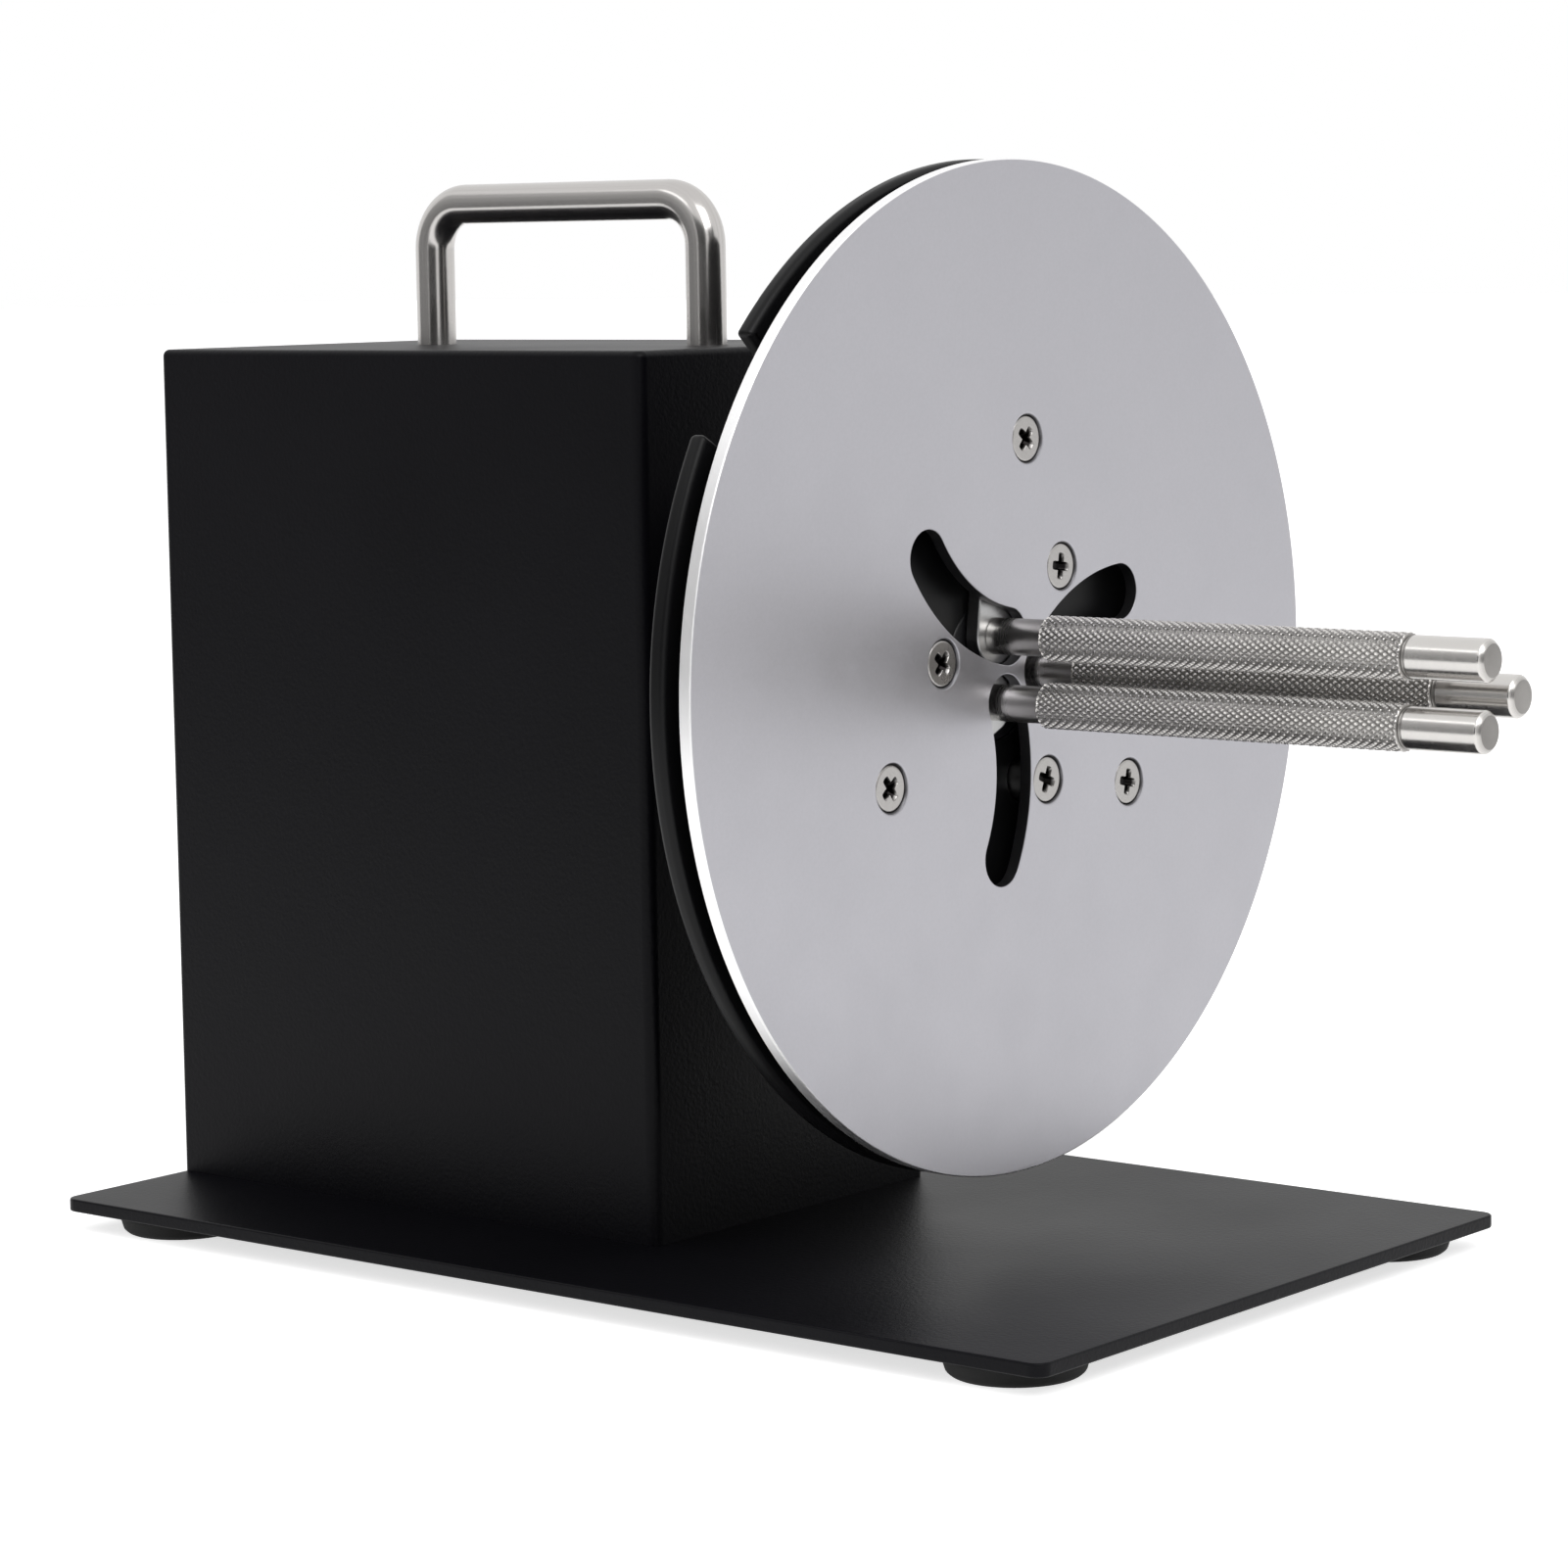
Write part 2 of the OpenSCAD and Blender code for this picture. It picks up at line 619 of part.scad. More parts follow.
module board_capacitors() {
  color([0.1, 0.12, 0.25])
  for (s = [-1, 1]) translate([board_x + board_l - capacitor_r - 4, s * (capacitor_r + 2), board_z + board_t])
    rotate_extrude() polygon([[0, 0], [capacitor_r - 0.6, 0], [capacitor_r, 0.8],
      [capacitor_r, capacitor_h - 1], [capacitor_r - 0.8, capacitor_h], [0, capacitor_h]]);
}

module board_heat_sink() {
  color([0.6, 0.6, 0.62])
  translate([board_x + 24, -sink_w / 2, board_z + board_t]) {
    cube([sink_t, sink_w, sink_h]);
    for (i = [0 : 5]) translate([sink_t, (sink_w - fin_t) * i / 5, 0]) cube([fin_l, fin_t, sink_h]);
  }
}

module board_terminals() {
  color([0.1, 0.35, 0.2])
  for (y = [-sink_w / 2 - 2 * terminal_w, sink_w / 2 + 2]) difference() {
    translate([board_x + 18, y, board_z + board_t]) cube([terminal_l, terminal_w, terminal_h]);
    for (i = [0 : 3]) translate([board_x + 18 + terminal_l * (i + 0.5) / 4, y + terminal_w / 2, board_z + 6])
      cylinder(h = 8, r = 1.7);
  }
}

// Rear controls
rocker_r = 8.4;
rocker_w = 10.4;

module switch_body() {
  z = plate_top + control_up;
  color([0.05, 0.05, 0.055])
  translate([x_rear, -control_side, z]) difference() {
    union() {
      translate([-2, -8, -11.6]) cube([2, 16, 23.2]);
      translate([0, -6.6, -10]) cube([17, 13.2, 20]);
    }
    translate([-3, -rocker_w / 2 - slide_gap, -rocker_r - slide_gap])
      cube([13, rocker_w + 2 * slide_gap, 2 * rocker_r + 2 * slide_gap]);
    translate([2, -6.2, 0]) rotate([-90, 0, 0]) cylinder(h = 12.4, r = 1.2 + run_fit);
  }
}

module switch_rocker() {
  z = plate_top + control_up;
  color([0.09, 0.09, 0.1])
  translate([x_rear + 2, -control_side, z]) {
    translate([0, rocker_w / 2, 0]) rotate([90, 0, 0]) linear_extrude(rocker_w) intersection() {
      circle(rocker_r);
      polygon([[3, -9], [3, 9], [-7.2, 9], [-5, 0], [-7.2, -9]]);
    }
    translate([0, -6, 0]) rotate([-90, 0, 0]) cylinder(h = 12, r = 1.2);
  }
}

module potentiometer() {
  color([0.5, 0.5, 0.52])
  translate([0, control_side, plate_top + control_up]) difference() {
    union() {
      bar_x(x_panel, x_panel + 9, 8);
      bar_x(x_rear - 4, x_panel, 3.5);
    }
    bar_x(x_rear - 5, x_panel + 7, 2.6 + run_fit);
  }
}

module pot_nut() {
  color([0.75, 0.75, 0.77])
  translate([0, control_side, plate_top + control_up]) difference() {
    translate([x_rear - 2, 0, 0]) rotate([0, 90, 0]) cylinder(h = 2, r = 5.6, $fn = 6);
    bar_x(x_rear - 3, x_rear + 1, 3.5);
  }
}

module pot_shaft() {
  color([0.75, 0.75, 0.77])
  translate([0, control_side, plate_top + control_up]) bar_x(x_rear - knob_l + 3, x_panel + 6.5, 2.6);
}

module torque_knob() {
  r = knob_d / 2;
  color([0.06, 0.06, 0.065])
  translate([0, control_side, plate_top + control_up]) difference() {
    turn_x(x_rear - knob_l) polygon([[0, 0], [r - 2.2, 0], [r - 1.4, 0.8], [r - 0.8, knob_l - 4.6],
      [r, knob_l - 4], [r, knob_l - 0.8], [0, knob_l - 0.8]]);
    bar_x(x_rear - 5, x_rear, 6.4);
    bar_x(x_rear - knob_l + 3, x_rear, 2.6);
    for (a = [0 : 30 : 330])
      bar_x(x_rear - knob_l - 1, x_rear - 5.5, 0.9, (r - 0.7) * cos(a), (r - 0.7) * sin(a));
    translate([x_rear - knob_l - 1, -0.5, r * 0.3]) cube([1.6, 1, r]);
  }
}

module power_inlet() {
  color([0.05, 0.05, 0.055])
  translate([0, -control_side, plate_top + inlet_up]) {
    difference() {
      union() {
        bar_x(x_rear - 1.6, x_rear, 7);
        bar_x(x_rear, x_rear + 14, 5.5);
      }
      bar_x(x_rear - 3, x_rear + 9, 3.2);
    }
    bar_x(x_rear + 1, x_rear + 9.1, 1.05);
  }
}

module inlet_nut() {
  color([0.75, 0.75, 0.77])
  translate([0, -control_side, plate_top + inlet_up]) difference() {
    translate([x_panel, 0, 0]) rotate([0, 90, 0]) cylinder(h = 2.4, r = 8, $fn = 6);
    bar_x(x_panel - 1, x_panel + 4, 5.5);
  }
}

// Turning spindle
module spindle() {
  r = spindle_d / 2;
  color([0.7, 0.7, 0.72])
  translate([0, 0, axis_h]) difference() {
    union() {
      bar_x(x_tail, hub_front - 2, r);
      bar_x(bearing_2, bearing_1 - bearing_w, r + 2);
      bar_x(x_coupling - 13, x_tail, 6);
    }
    difference() {
      bar_x(bearing_2 - bearing_w - clip_t, bearing_2 - bearing_w, r + 1);
      bar_x(bearing_2 - bearing_w - clip_t - 1, bearing_2 - bearing_w + 1, r - 0.8);
    }
  }
}

module bearing_inner_rings() {
  rm = (bearing_d + spindle_d) / 4;
  rb = (bearing_d - spindle_d) * 0.136;
  color([0.8, 0.8, 0.82])
  translate([0, 0, axis_h]) for (x = [bearing_1, bearing_2]) turn_x(x - bearing_w) difference() {
    translate([spindle_d / 2, 0]) square([rm - rb * 0.72 - spindle_d / 2, bearing_w]);
    translate([rm, bearing_w / 2]) circle(rb + 0.1);
  }
}

module spindle_clip() {
  r = spindle_d / 2;
  x = bearing_2 - bearing_w - clip_t;
  color([0.3, 0.3, 0.31])
  translate([0, 0, axis_h]) difference() {
    bar_x(x, x + clip_t, r + 2.4);
    bar_x(x - 1, x + clip_t + 1, r - 0.8);
    translate([x - 1, -3, -r - 4]) cube([clip_t + 2, 6, r]);
  }
}

module shaft_coupling() {
  x = x_coupling - coupling_l;
  color([0.66, 0.67, 0.7])
  translate([0, 0, axis_h]) difference() {
    bar_x(x, x_coupling, 13);
    bar_x(x_coupling - 13.5, x_coupling + 1, 6);
    bar_x(x - 1, x_coupling - 13, 5);
    for (d = [6, coupling_l - 6]) translate([x + d, 0, 0]) cylinder(h = 20, r = 2);
  }
}

module coupling_screws() {
  x = x_coupling - coupling_l;
  color([0.2, 0.2, 0.21])
  translate([0, 0, axis_h]) for (d = [[6, 5], [coupling_l - 6, 6]]) difference() {
    translate([x + d[0], 0, d[1]]) cylinder(h = 12.4 - d[1], r = 2);
    translate([x + d[0], 0, 10.6]) cylinder(h = 4, r = 1.1, $fn = 6);
    bar_x(x - 1, x_coupling + 1, d[1]);
  }
}

module gearbox_shaft() {
  color([0.75, 0.75, 0.77])
  translate([0, 0, axis_h]) bar_x(x_gearbox - 9, x_coupling - 15, 5);
}

module hub() {
  color([0.14, 0.14, 0.15])
  translate([0, 0, axis_h]) difference() {
    union() {
      turn_x(x_nose + 3) polygon([[0, 0], [hub_d / 2 - 1, 0], [hub_d / 2, 1],
        [hub_d / 2, hub_back - x_nose - 3], [0, hub_back - x_nose - 3]]);
      bar_x(hub_back, hub_front, screw_r + standoff_r + 2);
      bar_x(hub_front, wheel_front, wheel_bore_r - run_fit);
    }
    bar_x(x_nose, hub_front - 2, spindle_d / 2);
    for (a = [90, 210]) rotate([a, 0, 0]) translate([x_nose + 14, spindle_d / 2 - 1, 0]) rotate([-90, 0, 0])
      cylinder(h = hub_d, r = 3);
    for (k = [0 : 2]) let (p = screw_at(k)) bar_x(hub_back - 1, hub_front + 1, screw_shank_r, p[0], p[1]);
    difference() {
      bar_x(wheel_front - 1.5, wheel_front - 0.4, wheel_bore_r + 1);
      bar_x(wheel_front - 2, wheel_front, wheel_bore_r - 1.6);
    }
  }
}

module hub_set_screws() {
  color([0.2, 0.2, 0.21])
  translate([0, 0, axis_h]) for (a = [90, 210]) rotate([a, 0, 0]) difference() {
    translate([x_nose + 14, 0, 0]) rotate([-90, 0, 0]) cylinder(h = hub_d / 2 - 1, r = 3);
    bar_x(x_nose, hub_back, spindle_d / 2);
    translate([x_nose + 14, hub_d / 2 - 3.5, 0]) rotate([-90, 0, 0]) cylinder(h = 5, r = 1.7, $fn = 6);
  }
}

module friction_washer() {
  color([0.8, 0.78, 0.7])
  translate([0, 0, axis_h]) difference() {
    bar_x(hub_front, hub_front + washer_t, screw_r - standoff_r - 1);
    bar_x(hub_front - 1, hub_front + washer_t + 1, wheel_bore_r);
  }
}

module wheel_clip() {
  x = wheel_front - 1.5;
  color([0.3, 0.3, 0.31])
  translate([0, 0, axis_h]) difference() {
    bar_x(x, x + 1.1, wheel_bore_r + 2.4);
    bar_x(x - 1, x + 2.1, wheel_bore_r - 1.6);
    translate([x - 1, -3, -wheel_bore_r - 4]) cube([3, 6, wheel_bore_r]);
  }
}

module disc_standoffs() {
  color([0.72, 0.72, 0.74])
  translate([0, 0, axis_h]) for (k = [0 : 2]) let (p = screw_at(k)) difference() {
    bar_x(hub_front, x_disc - disc_t, standoff_r, p[0], p[1]);
    bar_x(hub_front - 1, x_disc, screw_shank_r, p[0], p[1]);
  }
}

module front_disc() {
  r = disc_d / 2;
  color([0.72, 0.72, 0.74])
  translate([0, 0, axis_h]) difference() {
    turn_x(x_disc - disc_t) polygon([[0, 0], [r - 0.4, 0], [r, 0.4], [r, disc_t - 0.4],
      [r - 0.4, disc_t], [0, disc_t]]);
    for (k = [0 : 2]) {
      p = pivot_at(k);
      q = screw_at(k);
      translate([0, p[0], p[1]]) rotate([120 * k, 0, 0])
        slab_x(x_disc - disc_t - 1, x_disc + 1) polygon(band(slot_path, slot_hw));
      sunk_hole(x_disc, p[0], p[1], disc_t + 1);
      sunk_hole(x_disc, q[0], q[1], disc_t + 1);
    }
  }
}

module disc_screws() {
  color([0.8, 0.8, 0.8])
  translate([0, 0, axis_h]) for (k = [0 : 2]) let (p = screw_at(k))
    sunk_screw(x_disc, p[0], p[1], x_disc - hub_back);
}

module pivot_posts() {
  color([0.72, 0.72, 0.74])
  translate([0, 0, axis_h]) for (k = [0 : 2]) let (p = pivot_at(k)) difference() {
    union() {
      bar_x(arm_back + 1.2, x_disc - disc_t, post_r, p[0], p[1]);
      bar_x(arm_back + 0.1, arm_back + 1.2, post_r + 2, p[0], p[1]);
    }
    bar_x(arm_back - 1, x_disc, screw_shank_r, p[0], p[1]);
  }
}

module pivot_screws() {
  color([0.8, 0.8, 0.8])
  translate([0, 0, axis_h]) for (k = [0 : 2]) let (p = pivot_at(k))
    sunk_screw(x_disc, p[0], p[1], x_disc - arm_back - 0.2);
}

// Adjusting wheel
module adjusting_wheel() {
  r = disc_d / 2;
  color([0.08, 0.08, 0.085])
  translate([0, 0, axis_h]) difference() {
    turn_x(wheel_back) polygon(concat([[wheel_bore_r, wheel_t], [wheel_bore_r, 0]],
      [for (a = [-90 : 15 : 0]) [r - rim_r, rim_r] + polar(rim_r, a)],
      [for (a = [0 : 15 : 90]) [r - rim_r, wheel_t - rim_r] + polar(rim_r, a)]));
    bar_x(wheel_front - 1.9, wheel_front + 1, wheel_bore_r + 2.8);
    for (k = [0 : 2]) {
      rotate([120 * k, 0, 0]) {
        slab_x(wheel_back - 1, wheel_front + 1) polygon(band(clear_path, standoff_r + slide_gap));
        slab_x(wheel_back - 1, wheel_front + 1) polygon(band(cam_path, pin_r + pin_play));
        translate([wheel_back - 1, 0, 0]) rotate([90, 0, 90]) rotate([0, 0, notch_turn - notch_a / 2])
          rotate_extrude(angle = notch_a) translate([r - notch_h, 0]) square([notch_h + 5, wheel_t + 2]);
      }
    }
  }
}

// Lever arm with its pivot hole, rod hole and pin hole
module lever_arm(k) {
  p = pivot_at(k);
  q = rod_at(k);
  t = pin_at(k);
  u = acos((pivot_boss_r - arm_tip_r) / arm_l);
  v = acos((pivot_boss_r - tail_r) / tail_l);
  color([0.72, 0.72, 0.74])
  translate([0, 0, axis_h]) difference() {
    translate([0, p[0], p[1]]) slab_x(arm_back, arm_front) rotate(pivot_turn + 120 * k + 180 - rest_lean)
      polygon(concat(arc([arm_l, 0], arm_tip_r, -u, u, 24), arc([0, 0], pivot_boss_r, u, 180 - v, 12),
        arc([-tail_l, 0], tail_r, 180 - v, 180 + v, 20), arc([0, 0], pivot_boss_r, 180 + v, 360 - u, 12)));
    bar_x(arm_back - 1, arm_front + 1, post_r + run_fit, p[0], p[1]);
    bar_x(arm_back - 1, arm_back + 1.2 + slide_gap, post_r + 2.4, p[0], p[1]);
    bar_x(arm_back - 1, arm_front + 1, screw_shank_r, q[0], q[1]);
    bar_x(arm_back - 1, arm_front + 1, pin_r, t[0], t[1]);
  }
}

// Core rod: stud, neck, knurled length, relief groove and plain tip
module core_rod(k) {
  q = rod_at(k);
  c = 0.4;
  g = 0.4;
  n = neck_d / 2;
  r = rod_d / 2;
  t = tip_d / 2;
  x1 = neck_l;
  x2 = rod_l - tip_l;
  color([0.6, 0.59, 0.58])
  translate([0, q[0], axis_h + q[1]]) {
    bar_x(arm_back, arm_front, screw_shank_r);
    bar_x(arm_front, x_disc + x1, n);
    turn_x(x_disc) polygon([[0, x1], [r - c, x1], [r, x1 + c], [r, x2 - c], [r - c, x2], [t - g, x2],
      [t - g, x2 + 2 * g], [t, x2 + 2 * g], [t, rod_l - 1], [t - 1, rod_l], [0, rod_l]]);
  }
}

// Drive pin on the tail of an arm
module drive_pin(k) {
  t = pin_at(k);
  color([0.72, 0.72, 0.74])
  translate([0, 0, axis_h]) bar_x(wheel_back + 0.6, arm_front, pin_r, t[0], t[1]);
}

module lever_arm_1() { lever_arm(0); }
module lever_arm_2() { lever_arm(1); }
module lever_arm_3() { lever_arm(2); }
module core_rod_1() { core_rod(0); }
module core_rod_2() { core_rod(1); }
module core_rod_3() { core_rod(2); }
module drive_pin_1() { drive_pin(0); }
module drive_pin_2() { drive_pin(1); }
module drive_pin_3() { drive_pin(2); }

base_plate();
rubber_feet();
foot_screws();
housing_shell();
shell_screws();
rear_panel();
rear_panel_screws();
carry_handle();
handle_screws();
spindle_bracket();
bearing_housing();
bearing_housing_screws();
bearing_outer_rings();
bearing_balls();
bearing_clip();
motor_bracket();
bracket_screws();
gearbox();
motor_can();
motor_screws();
control_board();
board_standoffs();
board_capacitors();
board_heat_sink();
board_terminals();
switch_body();
potentiometer();
pot_nut();
power_inlet();
inlet_nut();
spindle();
bearing_inner_rings();
spindle_clip();
shaft_coupling();
coupling_screws();
gearbox_shaft();
hub();
hub_set_screws();
friction_washer();
wheel_clip();
disc_standoffs();
front_disc();
disc_screws();
pivot_posts();
pivot_screws();
adjusting_wheel();
lever_arm_1();
lever_arm_2();
lever_arm_3();
core_rod_1();
core_rod_2();
core_rod_3();
drive_pin_1();
drive_pin_2();
drive_pin_3();
switch_rocker();
torque_knob();
pot_shaft();
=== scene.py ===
"""Label rewinder: visible surfaces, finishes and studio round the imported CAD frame.

Lengths are in millimetres and places are in the CAD's own frame: X along the spindle towards the
roll, Z up, origin on the floor. A piece's points become metres when its mesh is made.
"""
import json
import math

import bmesh
import bpy
import numpy as np
from mathutils import Matrix, Vector
from mathutils.geometry import tessellate_polygon


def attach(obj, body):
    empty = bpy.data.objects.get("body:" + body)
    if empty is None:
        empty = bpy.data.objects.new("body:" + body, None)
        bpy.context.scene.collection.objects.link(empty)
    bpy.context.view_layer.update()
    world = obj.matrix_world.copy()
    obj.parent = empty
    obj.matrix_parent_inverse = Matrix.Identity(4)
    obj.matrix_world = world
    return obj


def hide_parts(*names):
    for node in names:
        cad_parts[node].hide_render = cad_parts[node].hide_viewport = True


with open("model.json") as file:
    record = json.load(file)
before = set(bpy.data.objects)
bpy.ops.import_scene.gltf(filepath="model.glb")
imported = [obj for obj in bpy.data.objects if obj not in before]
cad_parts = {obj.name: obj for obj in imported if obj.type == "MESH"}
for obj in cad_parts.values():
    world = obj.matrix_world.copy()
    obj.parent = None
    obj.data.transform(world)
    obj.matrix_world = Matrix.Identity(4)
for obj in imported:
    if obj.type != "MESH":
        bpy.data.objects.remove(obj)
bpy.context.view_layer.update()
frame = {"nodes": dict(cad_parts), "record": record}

MM = 0.001

# Sizes, as the CAD has them
plate_l, plate_w, plate_t, plate_r = 282.0, 174.0, 3.0, 3.5
foot_d, foot_h, foot_front, foot_rear, foot_side = 30.5, 4.6, 19.0, 22.5, 17.5
foot_dish_r, foot_web = 6.2, 1.6
body_d, body_w, body_h, sheet_t, bend_r = 149.5, 97.0, 196.5, 1.5, 2.6
handle_span, handle_d, handle_rise, handle_bend, handle_shift = 84.0, 9.2, 33.0, 10.5, 11.0
disc_d, disc_t, disc_reach, axis_up = 220.0, 3.0, 65.0, 126.5
screw_r, screw_turn, head_d, shank_r = 27.0, 52.7, 11.0, 3.0
wheel_t, rim_r, notch_turn, notch_a, notch_h, wheel_bore_r = 4.2, 1.6, 143.7, 12.6, 9.0, 16.0
pivot_r, pivot_turn, centre_gap, rest_lean, swing, tail_l = 50.0, 85.3, 7.0, 5.5, 46.0, 20.0
arm_t, slot_web, post_r, pin_r, standoff_r = 3.4, 1.9, 5.0, 2.5, 5.0
pivot_boss_r, tail_r, counterbore_w = 9.0, 5.0, 2.4
rod_l, rod_d, neck_d, neck_l, tip_d, tip_l, relief_h = 120.0, 10.0, 8.0, 11.0, 9.0, 19.0, 0.4
flange_d, flange_t, flange_w, bearing_d, hub_d, spindle_d = 78.0, 7.0, 11.0, 42.0, 40.0, 20.0
nose_l, nose_lip, bearing_gap, bearing_w, tail_end = 13.0, 2.0, 36.0, 12.0, 3.0
barrel_wall, bearing_lip, washer_t, hub_flange_t, hub_gap = 6.0, 4.0, 0.8, 6.0, 3.0
control_up, control_side, knob_d, knob_l, inlet_up = 76.0, 20.0, 20.0, 18.0, 30.0
rocker_r, rocker_w, slide_gap, run_fit, pin_play = 8.4, 10.4, 0.4, 0.06, 0.15
switch_w, switch_h, bush_r, inlet_r = 13.2, 20.0, 3.5, 5.5

# Places worked out from the sizes
x_rear = knob_l - (rod_l + disc_reach + body_d + knob_l) / 2
x_front = x_rear + body_d
x_disc = x_front + disc_reach
arm_front = x_disc - disc_t - slide_gap
arm_back = arm_front - arm_t
wheel_front = arm_back - slide_gap
wheel_back = wheel_front - wheel_t
hub_front = wheel_back - slide_gap - washer_t
hub_back = hub_front - hub_flange_t
x_nose = x_front + nose_l
plate_top = foot_h + plate_t
axis_h = plate_top + axis_up
body_top = plate_top + body_h
handle_x = (x_rear + x_front) / 2 + handle_shift
control_z = plate_top + control_up
spindle_line = (0.0, 0.0, axis_h)

# Arms: their length, the rods' circle at rest, and how far the wheel turns for each degree of an arm
arm_l = pivot_r - centre_gap
lean_cos, lean_sin = math.cos(math.radians(rest_lean)), math.sin(math.radians(rest_lean))
rod_r0 = math.hypot(pivot_r - arm_l * lean_cos, arm_l * lean_sin)
slot_hw = (rod_r0 * math.sqrt(3) - slot_web) / 2
rest_reach = math.hypot(pivot_r + tail_l * lean_cos, tail_l * lean_sin)
wheel_ratio = tail_l * (tail_l + pivot_r * lean_cos) / rest_reach ** 2


# Shapes

def polar(r, degrees):
    """Points at radius r and an angle, as pairs."""
    a = np.radians(degrees)
    return np.stack(np.broadcast_arrays(r * np.cos(a), r * np.sin(a)), -1)


def grid_faces(rows, cols, ring=True):
    """Quads of a grid of points numbered row by row; ring joins the last column to the first."""
    i = np.arange(rows - 1)[:, None] * cols
    j = np.arange(cols if ring else cols - 1)[None, :]
    far = (j + 1) % cols
    return np.stack([i + j, i + far, i + cols + far, i + cols + j], -1).reshape(-1, 4).tolist()


def eased(corners, radius, steps=6, closed=True):
    """Outline with round corners: each corner becomes the arc that touches both its sides at the radius from
    it, drawn as a conic weighted by the cosine of half the turn. An arc takes less than half of a side. An open
    line keeps its two ends. Repeated points are dropped."""
    most, apart_by, no_length = 0.48, 1e-4, 1e-9
    c = np.asarray(corners, float)
    back, ahead = np.roll(c, 1, 0) - c, np.roll(c, -1, 0) - c
    lb, la = (np.maximum(np.linalg.norm(v, axis=1), no_length) for v in (back, ahead))
    reach = np.minimum(np.broadcast_to(radius, len(c)), most * np.minimum(lb, la))[:, None]
    p, q = c + back / lb[:, None] * reach, c + ahead / la[:, None] * reach
    w = np.sqrt(np.clip((1 - (back * ahead).sum(1) / (lb * la)) / 2, 0, 1))[:, None, None]
    t = np.linspace(0, 1, steps)[None, :, None]
    parts = (1 - t) ** 2, 2 * t * (1 - t) * w, t ** 2
    curve = (parts[0] * p[:, None] + parts[1] * c[:, None] + parts[2] * q[:, None]) / sum(parts)
    line = curve.reshape(-1, 2) if closed else np.vstack([c[:1], curve[1:-1].reshape(-1, 2), c[-1:]])
    apart = np.linalg.norm(line - np.roll(line, 1, 0), axis=1) > apart_by
    apart[0] = apart[0] or not closed
    return line[apart]


def box_outline(w, h, radius, at=(0, 0)):
    """Rectangle with round corners about a point."""
    corners = [[-w / 2, -h / 2], [w / 2, -h / 2], [w / 2, h / 2], [-w / 2, h / 2]]
    return np.asarray(at) + eased(corners, radius)


def round_outline(r, at=(0, 0), steps=64):
    """Circle about a point."""
    return np.asarray(at) + polar(r, np.linspace(0, 360, steps, endpoint=False))


def hex_outline(r, at=(0, 0)):
    """Six corners on a circle about a point."""
    return np.asarray(at) + polar(r, np.arange(6) * 60)


def band_outline(path, heading, half):
    """Loop at a half width round a path: one side, a half circle, the other side back, a half circle."""
    turn = np.linspace(90, -90, 25)[1:-1]
    return np.vstack([path + polar(half, heading + 90), path[-1] + polar(half, heading[-1] + turn),
                      path[::-1] + polar(half, heading[::-1] - 90),
                      path[0] + polar(half, heading[0] - 180 + turn)])


def turned(profile, origin, direction=(1, 0, 0), steps=96):
    """Surface of revolution: each (place, radius) pair of the profile is carried round a line."""
    d = np.asarray(direction, float)
    u = np.cross(d, [0, 0, 1.0] if abs(d[2]) < 0.9 else [1.0, 0, 0])
    s, r = np.asarray(profile, float).T
    a = np.linspace(0, 2 * np.pi, steps, endpoint=False)[:, None]
    ring = np.cos(a) * u + np.sin(a) * np.cross(d, u)
    points = np.asarray(origin, float) + s[:, None, None] * d + r[:, None, None] * ring
    return points.reshape(-1, 3), grid_faces(len(s), steps)


def in_front(points, w):
    """Points of a drawing in Y and Z, at a place along X."""
    return np.stack(np.broadcast_arrays(w, points[..., 0], points[..., 1]), -1)


def on_floor(points, w):
    """Points of a drawing in X and Y, at a height."""
    return np.stack(np.broadcast_arrays(points[..., 0], points[..., 1], w), -1)


def from_side(points, w):
    """Points of a drawing in X and Z, at a place along Y."""
    return np.stack(np.broadcast_arrays(points[..., 0], w, points[..., 1]), -1)


def plate(outline, holes, low, high, ease, lay=in_front, hole_ease=0.2, arc=4):
    """Flat plate: an edge profile, a quarter round at each face, is carried round the outline and each hole at
    the mitred normal of the loop, and the two faces are filled between the inset loops."""
    sharpest = 0.2
    points, faces, rims, start = [], [], [], 0
    rounds = [ease, *np.broadcast_to(hole_ease, len(holes))]
    for n, (loop, r) in enumerate(zip([outline, *holes], rounds)):
        loop = np.asarray(loop, float)
        area = np.cross(loop, np.roll(loop, -1, 0)).sum()
        loop = loop if (area > 0) == (n == 0) else loop[::-1]
        side = np.roll(loop, -1, 0) - loop
        normal = np.stack([-side[:, 1], side[:, 0]], -1) / np.linalg.norm(side, axis=1)[:, None]
        before = np.roll(normal, 1, 0)
        mitre = (normal + before) / np.maximum(1 + (normal * before).sum(1), sharpest)[:, None]
        t = np.linspace(0, np.pi / 2, arc)
        inset = r * np.concatenate([1 - np.sin(t), 1 - np.cos(t)])
        level = np.concatenate([low + r * (1 - np.cos(t)), high - r * (1 - np.sin(t))])
        points.append(lay(loop[None] + inset[:, None, None] * mitre[None], level[:, None]).reshape(-1, 3))
        faces += (np.array(grid_faces(2 * arc, len(loop))) + start).tolist()
        first = start + np.arange(len(loop))
        rims.append((loop + r * mitre, first, first + (2 * arc - 1) * len(loop)))
        start += 2 * arc * len(loop)
    fill = np.array(tessellate_polygon([[Vector((*p, 0)) for p in rim[0]] for rim in rims]))
    for end in (1, 2):
        faces += np.concatenate([rim[end] for rim in rims])[fill].tolist()
    return np.vstack(points), faces


def joined(surfaces):
    """Several surfaces as one list of points and one of faces."""
    starts = np.cumsum([0] + [len(s[0]) for s in surfaces])
    faces = [[i + n for i in f] for s, n in zip(surfaces, starts) for f in s[1]]
    return np.vstack([s[0] for s in surfaces]), faces


